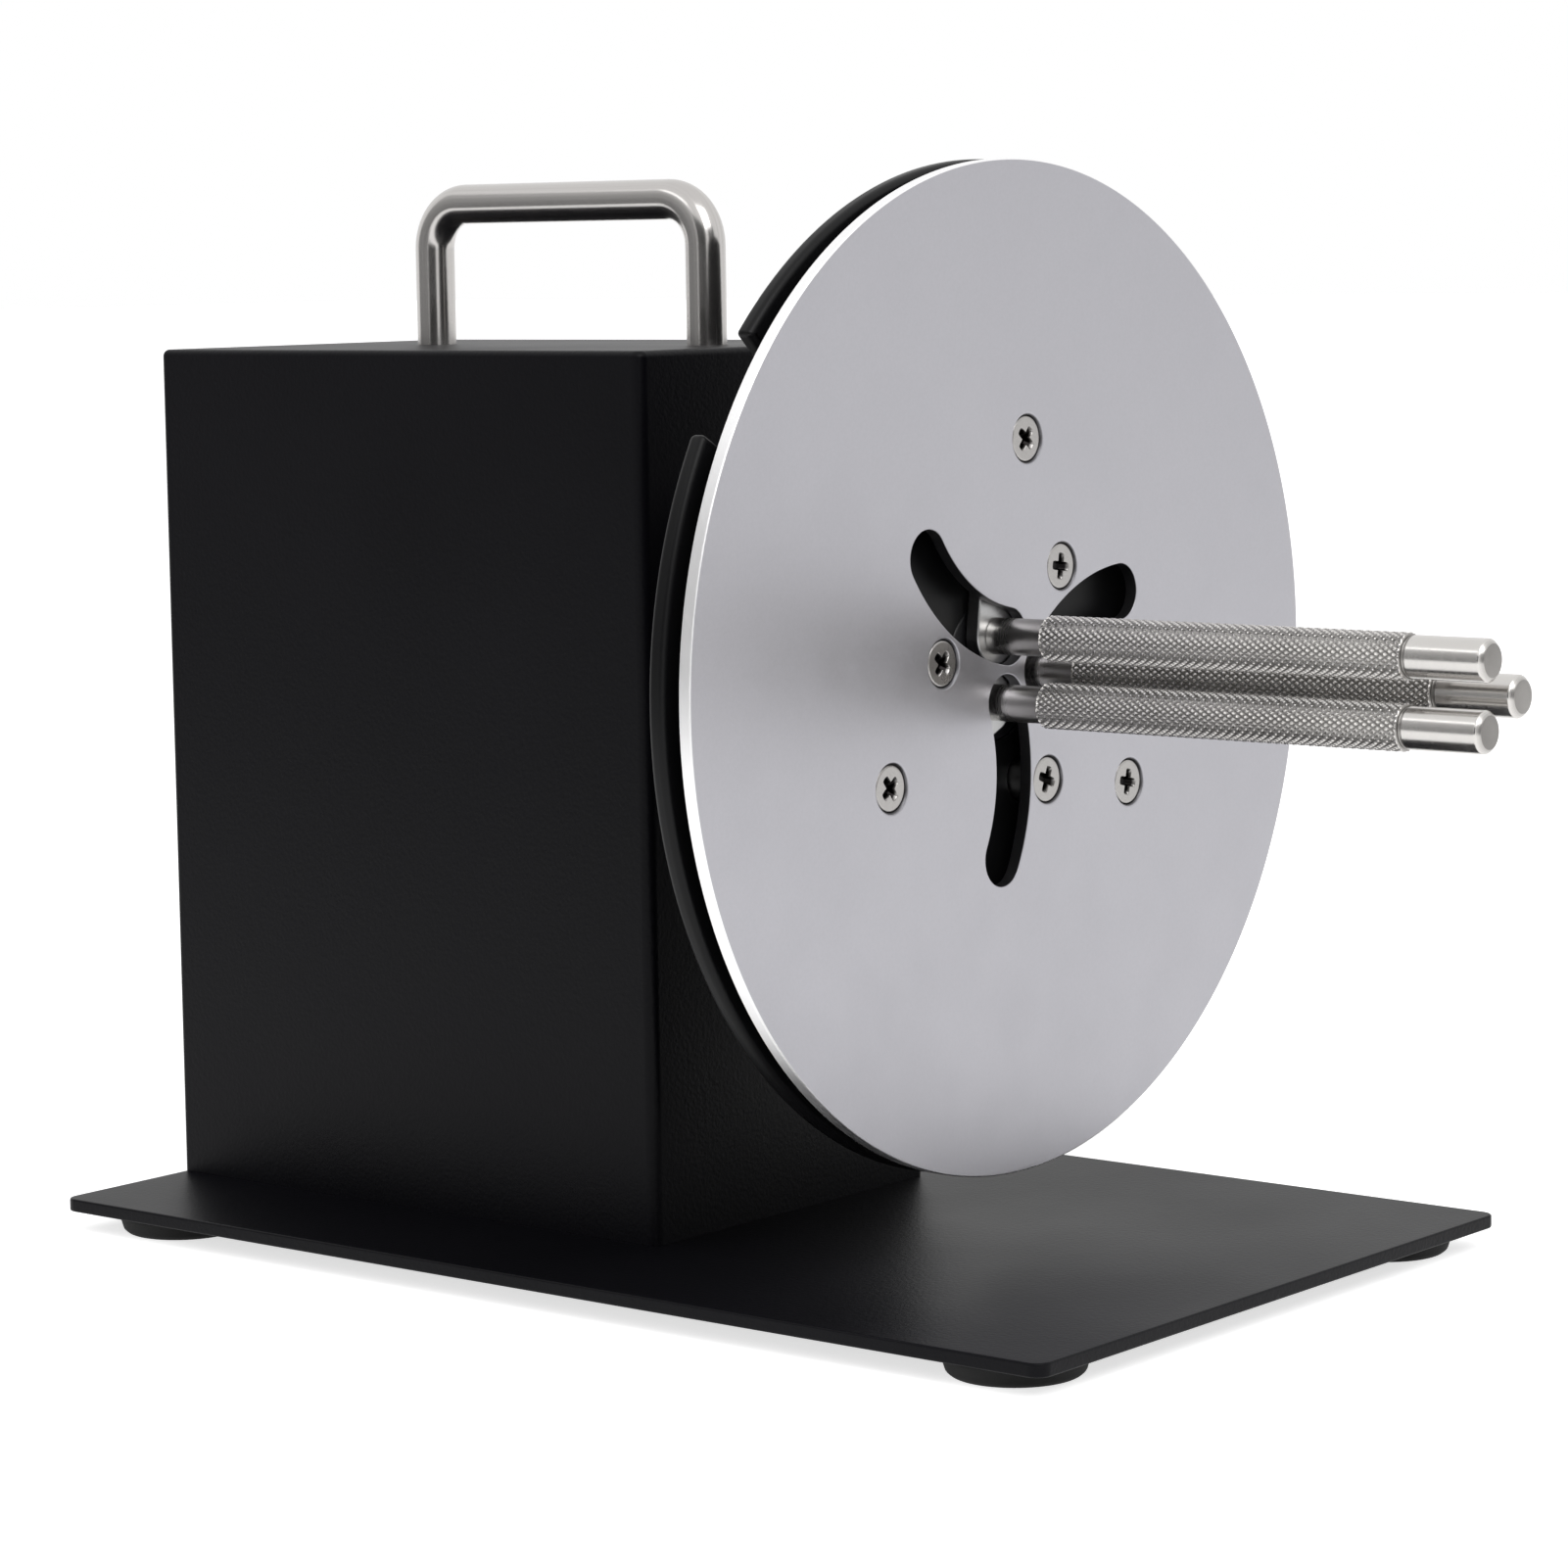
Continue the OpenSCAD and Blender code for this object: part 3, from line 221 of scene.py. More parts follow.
def linked(name, data):
    """New object of the scene that shows the data."""
    obj = bpy.data.objects.new(name, data)
    bpy.context.scene.collection.objects.link(obj)
    return obj


def even_shading(obj):
    """Shading weighted by the size of the faces, put last."""
    obj.modifiers.new("even_shading", "WEIGHTED_NORMAL").keep_sharp = True


def piece(name, surfaces, finish, body, *nodes, crease=40, **marks):
    """One object at the origin: doubles merged, normals outwards, shading weighted by face size. It rides on a
    body, stands for the CAD nodes and wears the finish given. Marks are values per point, kept as attributes."""
    merge_m = 2e-6
    points, faces = joined(surfaces)
    mesh = bpy.data.meshes.new(name)
    mesh.from_pydata((points * MM).tolist(), [], faces)
    for mark, values in marks.items():
        kind, key = ("FLOAT", "value") if np.ndim(values) == 1 else ("FLOAT_VECTOR", "vector")
        layer = mesh.attributes.new(mark, kind, "POINT")
        layer.data.foreach_set(key, np.asarray(values, np.float32).ravel())
    bm = bmesh.new()
    bm.from_mesh(mesh)
    bmesh.ops.remove_doubles(bm, verts=bm.verts, dist=merge_m)
    bmesh.ops.recalc_face_normals(bm, faces=bm.faces)
    bm.to_mesh(mesh)
    bm.free()
    mesh.shade_smooth()
    mesh.set_sharp_from_angle(angle=math.radians(crease))
    mesh.materials.append(finish)
    obj = linked(name, mesh)
    even_shading(obj)
    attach(obj, body)
    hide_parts(*nodes)
    return obj


# Finishes

noise_low, noise_high = 0.3, 0.7
# Colours painted over bare metal: a dark one as painted shade in recesses, a near white one as a painted
# highlight on the disc's rim
recess_painted_shade, rim_painted_highlight = (0.012, 0.011, 0.011), (0.96, 0.955, 0.96)


def wire(tree, node, **inputs):
    """Give inputs of a node a value or another node's output. A name such as i2 is the input of that number,
    and _ in another name stands for a space."""
    for key, value in inputs.items():
        numbered = key[0] == "i" and key[1:].isdigit()
        socket = node.inputs[int(key[1:]) if numbered else key.replace("_", " ")]
        if isinstance(value, bpy.types.NodeSocket):
            tree.links.new(value, socket)
        else:
            socket.default_value = value
    return node


def add(tree, kind, settings=None, **inputs):
    """New node with its settings and inputs."""
    node = tree.nodes.new(kind)
    for key, value in (settings or {}).items():
        setattr(node, key, value)
    return wire(tree, node, **inputs)


def maths(tree, operation, a, b):
    """Sum, product or the like of two values."""
    return add(tree, "ShaderNodeMath", {"operation": operation}, i0=a, i1=b).outputs[0]


def spread(tree, value, low, high, out_low, out_high):
    """Value moved from one range to another, and held inside it."""
    return add(tree, "ShaderNodeMapRange", {"clamp": True}, Value=value, From_Min=low, From_Max=high,
               To_Min=out_low, To_Max=out_high).outputs[0]


def mixed(tree, factor, first, second):
    """Colour between two, each a colour or a node's output, by a value."""
    first, second = (c if isinstance(c, bpy.types.NodeSocket) else (*c, 1) for c in (first, second))
    return add(tree, "ShaderNodeMix", {"data_type": "RGBA"}, i0=factor, i6=first, i7=second).outputs[2]


def mark_value(tree, mark):
    """Value of a mark on the points, 0 where the mesh has none."""
    return add(tree, "ShaderNodeAttribute", {"attribute_name": mark}).outputs["Fac"]


def group(name, inputs, outputs):
    """Empty shader node group with a Vector input, float inputs and float outputs."""
    tree = bpy.data.node_groups.new(name, "ShaderNodeTree")
    tree.interface.new_socket("Vector", in_out="INPUT", socket_type="NodeSocketVector")
    for label, value in inputs.items():
        tree.interface.new_socket(label, in_out="INPUT", socket_type="NodeSocketFloat").default_value = value
    for label in outputs:
        tree.interface.new_socket(label, in_out="OUTPUT", socket_type="NodeSocketFloat")
    return tree, tree.nodes.new("NodeGroupInput").outputs, tree.nodes.new("NodeGroupOutput").inputs


def make_coat_grain():
    """Cured coat: two noises give the fine pebbled height, a broad one the slight unevenness of tone."""
    tree, given, out = group("coat_grain", {"Scale": 900.0}, ["Height", "Tone"])
    place, scale = given["Vector"], given["Scale"]
    fine = add(tree, "ShaderNodeTexNoise", Vector=place, Scale=scale, Detail=3.0, Roughness=0.55)
    pebble = add(tree, "ShaderNodeTexVoronoi", {"feature": "SMOOTH_F1"}, Vector=place, Scale=scale,
                 Smoothness=1.0)
    broad = add(tree, "ShaderNodeTexNoise", Vector=place, Scale=14.0, Detail=4.0)
    half_pebble = maths(tree, "MULTIPLY", pebble.outputs["Distance"], 0.5)
    tree.links.new(maths(tree, "ADD", fine.outputs[0], half_pebble), out["Height"])
    tree.links.new(spread(tree, broad.outputs[0], noise_low, noise_high, 0.0, 1.0), out["Tone"])
    return tree


def make_tool_marks():
    """Marks of a tool: a noise drawn out along one direction of the given vector, with a broad noise for
    handling."""
    tree, given, out = group("tool_marks", {"Along": 30.0, "Across": 2500.0}, ["Height", "Line", "Handling"])
    axes = add(tree, "ShaderNodeSeparateXYZ", Vector=given["Vector"]).outputs
    ways = ("Along", "Across", "Across")
    x, y, z = (maths(tree, "MULTIPLY", axis, given[way]) for axis, way in zip(axes, ways))
    drawn = add(tree, "ShaderNodeCombineXYZ", X=x, Y=y, Z=z)
    line = add(tree, "ShaderNodeTexNoise", Vector=drawn.outputs[0], Scale=1.0, Detail=3.0, Roughness=0.6)
    broad = add(tree, "ShaderNodeTexNoise", Vector=given["Vector"], Scale=45.0, Detail=4.0, Roughness=0.6)
    tree.links.new(line.outputs[0], out["Height"])
    tree.links.new(spread(tree, line.outputs[0], noise_low, noise_high, 0.0, 1.0), out["Line"])
    tree.links.new(spread(tree, broad.outputs[0], noise_low, noise_high, 0.0, 1.0), out["Handling"])
    return tree


coat_grain = make_coat_grain()
tool_marks = make_tool_marks()


def blank(name):
    """New material: it, its tree, its Principled shader."""
    material = bpy.data.materials.new(name)
    material.use_nodes = True
    return material, material.node_tree, material.node_tree.nodes["Principled BSDF"]


def marked(tree, place, along, across):
    """Outputs of the tool marks at a place."""
    node = add(tree, "ShaderNodeGroup", {"node_tree": tool_marks}, Vector=place, Along=along, Across=across)
    return node.outputs


def relief(tree, height, depth):
    """Normal of a surface raised by height times depth in metres."""
    return add(tree, "ShaderNodeBump", Height=height, Distance=depth, Strength=1.0).outputs[0]


def coated(name, colour, rough, scale=900.0, depth=6e-5, vary=0.12, specular=0.5):
    """Painted, moulded or rubber surface: pebbled relief, tone and gloss that wander a little."""
    material, tree, shader = blank(name)
    place = add(tree, "ShaderNodeTexCoord").outputs["Object"]
    grain = add(tree, "ShaderNodeGroup", {"node_tree": coat_grain}, Vector=place, Scale=scale).outputs
    colour = np.array(colour)
    wire(tree, shader, Base_Color=mixed(tree, grain["Tone"], colour * (1 - vary), colour * (1 + vary)),
         Roughness=spread(tree, grain["Tone"], 0, 1, rough * 0.93, rough * 1.07),
         Normal=relief(tree, grain["Height"], depth), Specular_IOR_Level=specular)
    return material


def metal(name, colour, rough, along=30.0, across=2500.0, depth=4e-6, vary=0.06, mark=None):
    """Bare metal: drawn, turned or ground lines in relief and gloss, with faint handling. Lines run along X of
    the object, or along the first value of a mark on the points. Points marked recess are painted dark, a
    painted shade, and points of the rim's mark are painted nearly white, a painted highlight."""
    material, tree, shader = blank(name)
    if mark:
        place = add(tree, "ShaderNodeAttribute", {"attribute_name": mark}).outputs["Vector"]
    else:
        place = add(tree, "ShaderNodeTexCoord").outputs["Object"]
    marks = marked(tree, place, along, across)
    colour = np.array(colour)
    shade = mixed(tree, marks["Line"], colour * (1 - vary), np.minimum(colour * (1 + vary), 1))
    # Painted shade where the recess mark is set
    shade = mixed(tree, mark_value(tree, "recess"), shade, recess_painted_shade)
    # Painted highlight where the rim's mark is set
    shade = mixed(tree, mark_value(tree, "bare"), shade, rim_painted_highlight)
    wear = maths(tree, "ADD", marks["Line"], marks["Handling"])
    wire(tree, shader, Base_Color=shade, Roughness=spread(tree, wear, 0, 2, rough * 0.85, rough * 1.15),
         Normal=relief(tree, marks["Height"], depth), Metallic=1.0)
    return material


def knurled_steel():
    """Rod steel: where the mesh's mark is set, in the knurl's grooves and on the shoulders and the end, the
    colour is painted darker, a painted shade, and the steel is duller.
    """
    # Crest colour, and the darker colour painted into the grooves, shoulders and end as painted shade
    crest, valley_shade, depth, duller = (0.76, 0.74, 0.715), (0.105, 0.098, 0.092), 3e-7, 0.25
    material, tree, shader = blank("knurled_rod_steel")
    groove = mark_value(tree, "groove")
    place = add(tree, "ShaderNodeTexCoord").outputs["Object"]
    marks = marked(tree, place, 3000.0, 60.0)
    # Painted shade by the mark, varied a little by broad noise
    painted_groove_shade = maths(tree, "MULTIPLY", groove, spread(tree, marks["Handling"], 0, 1, 0.8, 1.0))
    polish = spread(tree, marks["Line"], 0, 1, 0.15, 0.21)
    rough = maths(tree, "ADD", polish, maths(tree, "MULTIPLY", groove, duller))
    wire(tree, shader, Base_Color=mixed(tree, painted_groove_shade, crest, valley_shade), Roughness=rough,
         Normal=relief(tree, marks["Height"], depth), Metallic=1.0)
    return material


finishes = {
    "powder_coat": coated("black_powder_coat", (0.0025, 0.0024, 0.0038), 0.42, 1100.0, 5e-5, specular=0.12),
    "foot_rubber": coated("foot_rubber", (0.011, 0.011, 0.011), 0.78, 1600.0, 4e-5, specular=0.35),
    "zinc_screws": metal("zinc_screw_plating", (0.58, 0.58, 0.57), 0.34),
    "black_screws": coated("blackened_screws", (0.02, 0.02, 0.021), 0.42, 2500.0, 1e-5),
    "handle_steel": metal("polished_handle_steel", (0.55, 0.532, 0.518), 0.2, 4.0, 1800.0,
                          depth=1.2e-6, mark="run"),
    "bracket_steel": metal("zinc_bracket_sheet", (0.42, 0.43, 0.44), 0.4),
    "black_anodised": coated("black_anodised_turning", (0.008, 0.008, 0.009), 0.36, 3000.0, 6e-6,
                             specular=0.35),
    "bearing_steel": metal("ground_bearing_steel", (0.6, 0.6, 0.61), 0.18),
    "spring_steel": metal("blackened_spring_steel", (0.14, 0.14, 0.15), 0.35),
    "gearbox_metal": metal("cast_gearbox", (0.48, 0.48, 0.5), 0.45),
    "motor_paint": coated("motor_enamel", (0.05, 0.05, 0.055), 0.35, 1500.0, 2e-5),
    "board_laminate": coated("board_solder_mask", (0.012, 0.11, 0.05), 0.3, 2600.0, 8e-6),
    "brass": metal("turned_brass", (0.72, 0.52, 0.22), 0.25),
    "capacitor_sleeve": coated("capacitor_sleeve", (0.015, 0.02, 0.07), 0.28, 2600.0, 6e-6),
    "heat_sink_metal": metal("extruded_heat_sink", (0.55, 0.55, 0.56), 0.36),
    "terminal_plastic": coated("terminal_plastic", (0.02, 0.16, 0.07), 0.4, 2000.0, 1e-5),
    "control_plastic": coated("control_moulding", (0.018, 0.018, 0.019), 0.48, 2200.0, 2e-5),
    "rocker_plastic": coated("rocker_moulding", (0.014, 0.014, 0.015), 0.2, 2600.0, 4e-6),
    "nickel": metal("nickel_plating", (0.6, 0.58, 0.53), 0.22),
    "shaft_steel": metal("ground_shaft_steel", (0.55, 0.55, 0.56), 0.2, 2600.0, 60.0),
    "coupling_metal": metal("turned_coupling", (0.6, 0.6, 0.62), 0.3, 2600.0, 60.0),
    "washer_fibre": coated("washer_fibre", (0.42, 0.36, 0.26), 0.7, 1400.0, 3e-5),
    "zinc_steel": metal("zinc_arm_steel", (0.44, 0.44, 0.44), 0.3),
    "satin_aluminium": metal("satin_disc_aluminium", (0.452, 0.447, 0.476), 0.42, 1500.0, 1500.0,
                             depth=2.5e-6, vary=0.03),
    "bright_screws": metal("bright_screw_steel", (0.4, 0.388, 0.378), 0.3),
    "wheel_black": coated("black_wheel_anodising", (0.0045, 0.0045, 0.005), 0.38, 3000.0, 5e-6, specular=0.18),
    "rod_steel": knurled_steel(),
}
slot_of = {part["node"]: part["material_slot"] for part in frame["record"]["subparts"]}
for node, cad in frame["nodes"].items():
    cad.data.materials.clear()
    cad.data.materials.append(finishes[slot_of[node]])


# Base

def make_base_plate():
    """Sheet plate with round corners and an eased edge."""
    edge = 0.45
    outline = box_outline(plate_l, plate_w, plate_r, (x_rear + plate_l / 2, 0))
    sheet = plate(outline, [], foot_h, plate_top, edge, on_floor)
    piece("base_sheet", [sheet], finishes["powder_coat"], "stand", "base_plate")


def make_feet():
    """Four turned rubber feet, each with a dished middle for its screw."""
    r, seat, edge = foot_d / 2, foot_h - foot_web, 0.45
    profile = eased([(seat, 0), (seat, foot_dish_r), (0, foot_dish_r), (0, r - 2), (0.9, r - 0.9),
                     (foot_h - 0.6, r), (foot_h, r - 0.5), (foot_h, 0)], edge, 5, closed=False)
    spots = [(x, s * (plate_w / 2 - foot_side), 0)
             for x in (x_rear + foot_rear, x_rear + plate_l - foot_front) for s in (-1, 1)]
    piece("rubber_feet_turned", [turned(profile, at, (0, 0, 1), 72) for at in spots],
          finishes["foot_rubber"], "stand", "rubber_feet")


# Housing

def make_housing():
    """One folded sheet: a closed plan line with round corners runs along one side, across the front, back along
    the other side and across the back. It is carried up as walls everywhere but at the back, drawn in over a
    quarter round by the fold's radius less its cosine, and filled as the lid, with a flat margin first."""
    rear_r, top_r, margin_w, levels, edge_w, thinner = 1.65, 1.6, 6, 14, 0.3, 0.1
    hw, fold = body_w / 2, np.linspace(0, 90, 9)
    corners = [(x_rear + rear_r, rear_r - hw, rear_r, 180), (x_front - bend_r, bend_r - hw, bend_r, 270),
               (x_front - bend_r, hw - bend_r, bend_r, 0), (x_rear + rear_r, hw - rear_r, rear_r, 90)]
    plan, out = [], []
    for (x, y, r, turn), (x2, y2, r2, turn2) in zip(corners, corners[1:] + corners[:1]):
        arc, ahead = np.array([x, y]) + polar(r, turn + fold), np.array([x2, y2]) + polar(r2, turn2)
        run = arc[-1] + (ahead - arc[-1]) * np.linspace(0, 1, 13)[1:-1, None]
        plan += [arc, run]
        out += [polar(1, turn + fold), np.broadcast_to(polar(1, turn + 90), run.shape)]
    plan, out = np.vstack(plan), np.vstack(out)
    walled = plan[:-len(run)]
    rise = np.linspace(plate_top, body_top - top_r, levels)[:, None]
    walls = on_floor(np.broadcast_to(walled, (levels, *walled.shape)), rise).reshape(-1, 3)
    t = np.radians(fold)[:, None]
    drawn = plan - top_r * (1 - np.cos(t))[:, :, None] * out
    bend = on_floor(drawn, body_top - top_r * (1 - np.sin(t))).reshape(-1, 3)
    inner = np.clip(drawn[-1], [x_rear + margin_w, margin_w - hw], [x_front - margin_w, hw - margin_w])
    margin = on_floor(np.stack([drawn[-1], inner]), body_top).reshape(-1, 3)
    lid = on_floor(inner[np.linalg.norm(inner - np.roll(inner, 1, 0), axis=1) > 1e-6], body_top)
    fill = [list(f) for f in tessellate_polygon([[Vector(p) for p in lid]])]
    surfaces = [(walls, grid_faces(levels, len(walled), False)), (bend, grid_faces(len(fold), len(plan))),
                (margin, grid_faces(2, len(plan))), (lid, fill)]
    obj = piece("housing_sheet", surfaces, finishes["powder_coat"], "stand", "housing_shell")
    obj.modifiers.remove(obj.modifiers["even_shading"])
    thick = obj.modifiers.new("sheet", "SOLIDIFY")
    thick.thickness, thick.offset, thick.use_even_offset = (sheet_t - thinner) * MM, -1.0, True
    edge = obj.modifiers.new("edge", "BEVEL")
    edge.width, edge.segments, edge.limit_method, edge.angle_limit = edge_w * MM, 3, "ANGLE", math.radians(50)
    even_shading(obj)


def make_handle():
    """Bent bar: a circle carried up a leg, round a bend, along the top and down again. The mark run holds the
    distance along the bar and the place round it, for the drawing lines."""
    sides, leg_steps = 48, 12
    r, half, straight = handle_d / 2, handle_span / 2, handle_rise - handle_bend
    turn = np.linspace(0, 90, 17)
    legs = np.linspace(0, straight, leg_steps)
    path = np.vstack([np.stack([np.full(leg_steps, -half), legs], -1),
                      [handle_bend - half, straight] + polar(handle_bend, 180 - turn)[1:],
                      [half - handle_bend, straight] + polar(handle_bend, 90 - turn),
                      np.stack([np.full(leg_steps - 1, half), legs[-2::-1]], -1)])
    step = np.gradient(path, axis=0)
    step /= np.linalg.norm(step, axis=1)[:, None]
    out = np.stack([-step[:, 1], step[:, 0]], -1)
    a = np.linspace(0, 2 * np.pi, sides, endpoint=False)
    flat = path[:, None] + r * np.cos(a)[None, :, None] * out[:, None]
    across = np.broadcast_to(r * np.sin(a), flat.shape[:2])
    points = from_side(flat + [handle_x, body_top], across).reshape(-1, 3)
    ends = [list(range(sides)), list(range(len(points) - sides, len(points)))]
    along = np.concatenate([[0], np.cumsum(np.linalg.norm(np.diff(path, axis=0), axis=1))])
    run = np.stack(np.broadcast_arrays(along[:, None], r * np.cos(a), r * np.sin(a)), -1).reshape(-1, 3) * MM
    piece("handle_bar", [(points, grid_faces(len(path), sides) + ends)], finishes["handle_steel"],
          "stand", "carry_handle", run=run)


# Winding disc, wheel and arms

def at_third(points, k):
    """Drawing in Y and Z turned by k thirds of a turn about the spindle."""
    c, s = np.cos(np.radians(120 * k)), np.sin(np.radians(120 * k))
    return np.asarray(points) @ np.array([[c, s], [-s, c]])


def about_spindle(points):
    """Drawing in Y and Z lifted from the spindle's line to its height."""
    return np.asarray(points) + [0, axis_h]


def make_disc():
    """Disc pierced by the three rod slots, each the loop at slot_hw round the arc of a rod about its pivot, and
    by the six screw holes. The walls of the holes are painted dark, a painted shade, and the rim is painted
    bright, a painted highlight."""
    rim_ease, slot_ease, hole_ease, tuck, wall_painted_shade = 0.35, 0.25, 0.8, 0.4, 0.75
    rim_band, clear_of_rim, face_skin = 0.25, 1, 0.1
    a = pivot_turn + 180 - rest_lean - np.linspace(0, swing, 33)
    slot = band_outline(polar(pivot_r, pivot_turn) + polar(arm_l, a), a - 90, slot_hw)
    screws = [polar(screw_r, screw_turn), polar(pivot_r, pivot_turn)]
    bores = [round_outline(head_d / 2 - tuck, p, 64) for p in screws]
    holes = [about_spindle(at_third(loop, k)) for loop in (slot, *bores) for k in range(3)]
    outline = about_spindle(round_outline(disc_d / 2, steps=288))
    eases = [slot_ease] * 3 + [hole_ease] * 6
    disc = plate(outline, holes, x_disc - disc_t, x_disc, rim_ease, hole_ease=eases, arc=5)
    x, out = disc[0][:, 0], np.hypot(disc[0][:, 1], disc[0][:, 2] - axis_h)
    # Rim band that takes the painted highlight
    rim = out > disc_d / 2 - rim_band
    # Walls of the holes, clear of the rim and the faces: painted shade
    cut = (out < disc_d / 2 - clear_of_rim) & (x < x_disc - face_skin) & (x > x_disc - disc_t + face_skin)
    piece("satin_disc", [disc], finishes["satin_aluminium"], "rotor", "front_disc",
          recess=wall_painted_shade * cut, bare=1.0 * rim)


def pin_track(s):
    """Place of a drive pin on the wheel after an arm has swung s degrees: the pin's place about the spindle,
    turned back by the wheel's own turn."""
    lean = np.radians(rest_lean + s)
    reach = np.hypot(pivot_r + tail_l * np.cos(lean), tail_l * np.sin(lean))
    angle = pivot_turn - np.degrees(np.arcsin(tail_l * np.sin(lean) / reach)) + wheel_ratio * s
    return polar(reach, angle)


def make_wheel():
    """Wheel whose rim is cut by three finger notches with eased corners, and which is pierced by the bore, the
    three cam slots along the pins' tracks and the three arcs that clear the disc's posts."""
    notch_steps, inner_round, outer_round, hole_ease = 13, 1.6, 1.2, 0.25
    start, end, r = notch_turn - notch_a / 2, notch_turn + notch_a / 2, disc_d / 2
    third = np.vstack([polar(r - notch_h, np.linspace(start, end, notch_steps)),
                       polar(r, np.linspace(end, start + 120, 73))])
    round_by = np.zeros(len(third))
    round_by[[0, notch_steps - 1]], round_by[[notch_steps, -1]] = inner_round, outer_round
    rim = eased(np.vstack([at_third(third, k) for k in range(3)]), np.tile(round_by, 3), 6)
    s = np.linspace(0, swing, 25)
    heading = np.degrees(np.arctan2(*(pin_track(s + 0.5) - pin_track(s - 0.5)).T[::-1]))
    cam = band_outline(pin_track(s), heading, pin_r + pin_play)
    a = screw_turn + np.linspace(0, wheel_ratio * swing, 17)
    clear = band_outline(polar(screw_r, a), a + 90, standoff_r + slide_gap)
    holes = [about_spindle(at_third(loop, k)) for loop in (cam, clear) for k in range(3)]
    holes.append(about_spindle(round_outline(wheel_bore_r, steps=72)))
    wheel = plate(about_spindle(rim), holes, wheel_back, wheel_front, rim_r, hole_ease=hole_ease, arc=7)
    piece("black_wheel", [wheel], finishes["wheel_black"], "wheel", "adjusting_wheel")


def make_arm(k):
    """Lever arm: the outline runs round the rod end, the pivot boss and the tail, and straight between them.
    Its hole has the radius of the CAD's counterbore all the way through."""
    tip_gap, edge = 0.5, 0.5
    tip_r = rod_r0 * math.sqrt(3) / 2 - tip_gap
    u = math.degrees(math.acos((pivot_boss_r - tip_r) / arm_l))
    v = math.degrees(math.acos((pivot_boss_r - tail_r) / tail_l))
    arcs = [((arm_l, 0), tip_r, -u, u), ((0, 0), pivot_boss_r, u, 180 - v),
            ((-tail_l, 0), tail_r, 180 - v, 180 + v), ((0, 0), pivot_boss_r, 180 + v, 360 - u)]
    outline = np.vstack([np.asarray(c) + polar(r, np.linspace(a, b, 25)) for c, r, a, b in arcs])
    lean = np.radians(pivot_turn + 180 - rest_lean)
    outline = outline @ np.array([[np.cos(lean), np.sin(lean)], [-np.sin(lean), np.cos(lean)]])
    pivot, bore = polar(pivot_r, pivot_turn), round_outline(post_r + counterbore_w)
    loops = [about_spindle(at_third(loop + pivot, k)) for loop in (outline, bore)]
    arm = plate(loops[0], loops[1:], arm_back, arm_front, edge)
    piece(f"zinc_arm_{k + 1}", [arm], finishes["zinc_steel"], f"arm_{k + 1}", f"lever_arm_{k + 1}")


def make_rod(k):
    """Rod as one grid of places along it and angles round it. The radius is the turned profile; on the knurled
    length it is less the depth of the deeper of two saw-tooth grooves, which run round the rod in opposite
    screws. Each quad is split along its lower diagonal, so the grooves stay sharp. The mark groove is painted
    shade and dullness: the depth of the knurl in its grooves, and set levels on the plain lengths, the
    shoulders and the end."""
    count, pitch, depth, flat, per_groove = 22, 2.05, 0.42, 0.36, 6
    # Levels of painted shade on the plain lengths, the shoulders, the chamfer and the end
    plain, shoulder, chamfer, end_face = 0.2, 0.75, 0.5, 0.84
    x1, x2, end = x_disc + neck_l, x_disc + rod_l - tip_l, x_disc + rod_l
    r, neck, tip, c = rod_d / 2, neck_d / 2, tip_d / 2, 0.4
    groove_end, groove_r = x2 + 2 * relief_h, tip - relief_h
    root = eased([(arm_back, 0), (arm_back, shank_r), (arm_front, shank_r), (arm_front, neck), (x1, neck),
                  (x1, r - c), (x1 + c, r)], 0.3, 4, closed=False)
    point = eased([(x2 - c, r), (x2, r - c), (x2, groove_r), (groove_end, groove_r), (groove_end, tip),
                   (end - 1, tip), (end, tip - 1), (end, 0)], 0.25, 4, closed=False)
    places = np.arange(x1 + c + 0.2, x2 - c - 0.1, pitch / per_groove)
    rows = np.vstack([root, np.stack([places, np.full(len(places), r)], -1), point])
    x = rows[:, :1]
    round_at = np.arange(per_groove * count) / (per_groove * count)
    across = [np.abs(2 * ((count * round_at + way * x / pitch) % 1) - 1) for way in (-1, 1)]
    groove = np.clip((np.maximum(*across) - flat) / (1 - flat), 0, 1)
    groove *= np.clip(np.minimum(x - x1, x2 - x) / (2 * c), 0, 1)
    radius = rows[:, 1:] - depth * groove
    # Painted shade, also used for dullness: the knurl's depth in the grooves, set levels elsewhere
    shade_and_dullness = np.where((x < x1 - 0.1) | (x > x2 + 0.1), plain, groove)
    shade_and_dullness = np.where((np.abs(x - x1) < 0.35) | ((x > x2 - 0.35) & (x < groove_end + 0.1)), shoulder, shade_and_dullness)
    on_end = (x > end - 0.05) & (rows[:, 1:] < tip - 0.9)
    shade_and_dullness = np.where(on_end, end_face, np.where(x > end - 0.8, chamfer, shade_and_dullness))
    at_rest = polar(pivot_r, pivot_turn) + polar(arm_l, pivot_turn + 180 - rest_lean)
    y, z = about_spindle(at_third(at_rest, k))
    a = 2 * np.pi * round_at
    points = np.stack([np.broadcast_to(x, radius.shape), y + radius * np.cos(a), z + radius * np.sin(a)], -1)
    quads = np.array(grid_faces(len(rows), len(a)))
    corner_r = radius.ravel()[quads]
    low = (corner_r[:, 0] + corner_r[:, 2] <= corner_r[:, 1] + corner_r[:, 3])[:, None]
    faces = np.vstack([np.where(low, quads[:, [0, 1, 2]], quads[:, [0, 1, 3]]),
                       np.where(low, quads[:, [0, 2, 3]], quads[:, [1, 2, 3]])])
    piece(f"knurled_rod_{k + 1}", [(points.reshape(-1, 3), faces.tolist())], finishes["rod_steel"],
          f"arm_{k + 1}", f"core_rod_{k + 1}", crease=28, groove=shade_and_dullness.ravel())


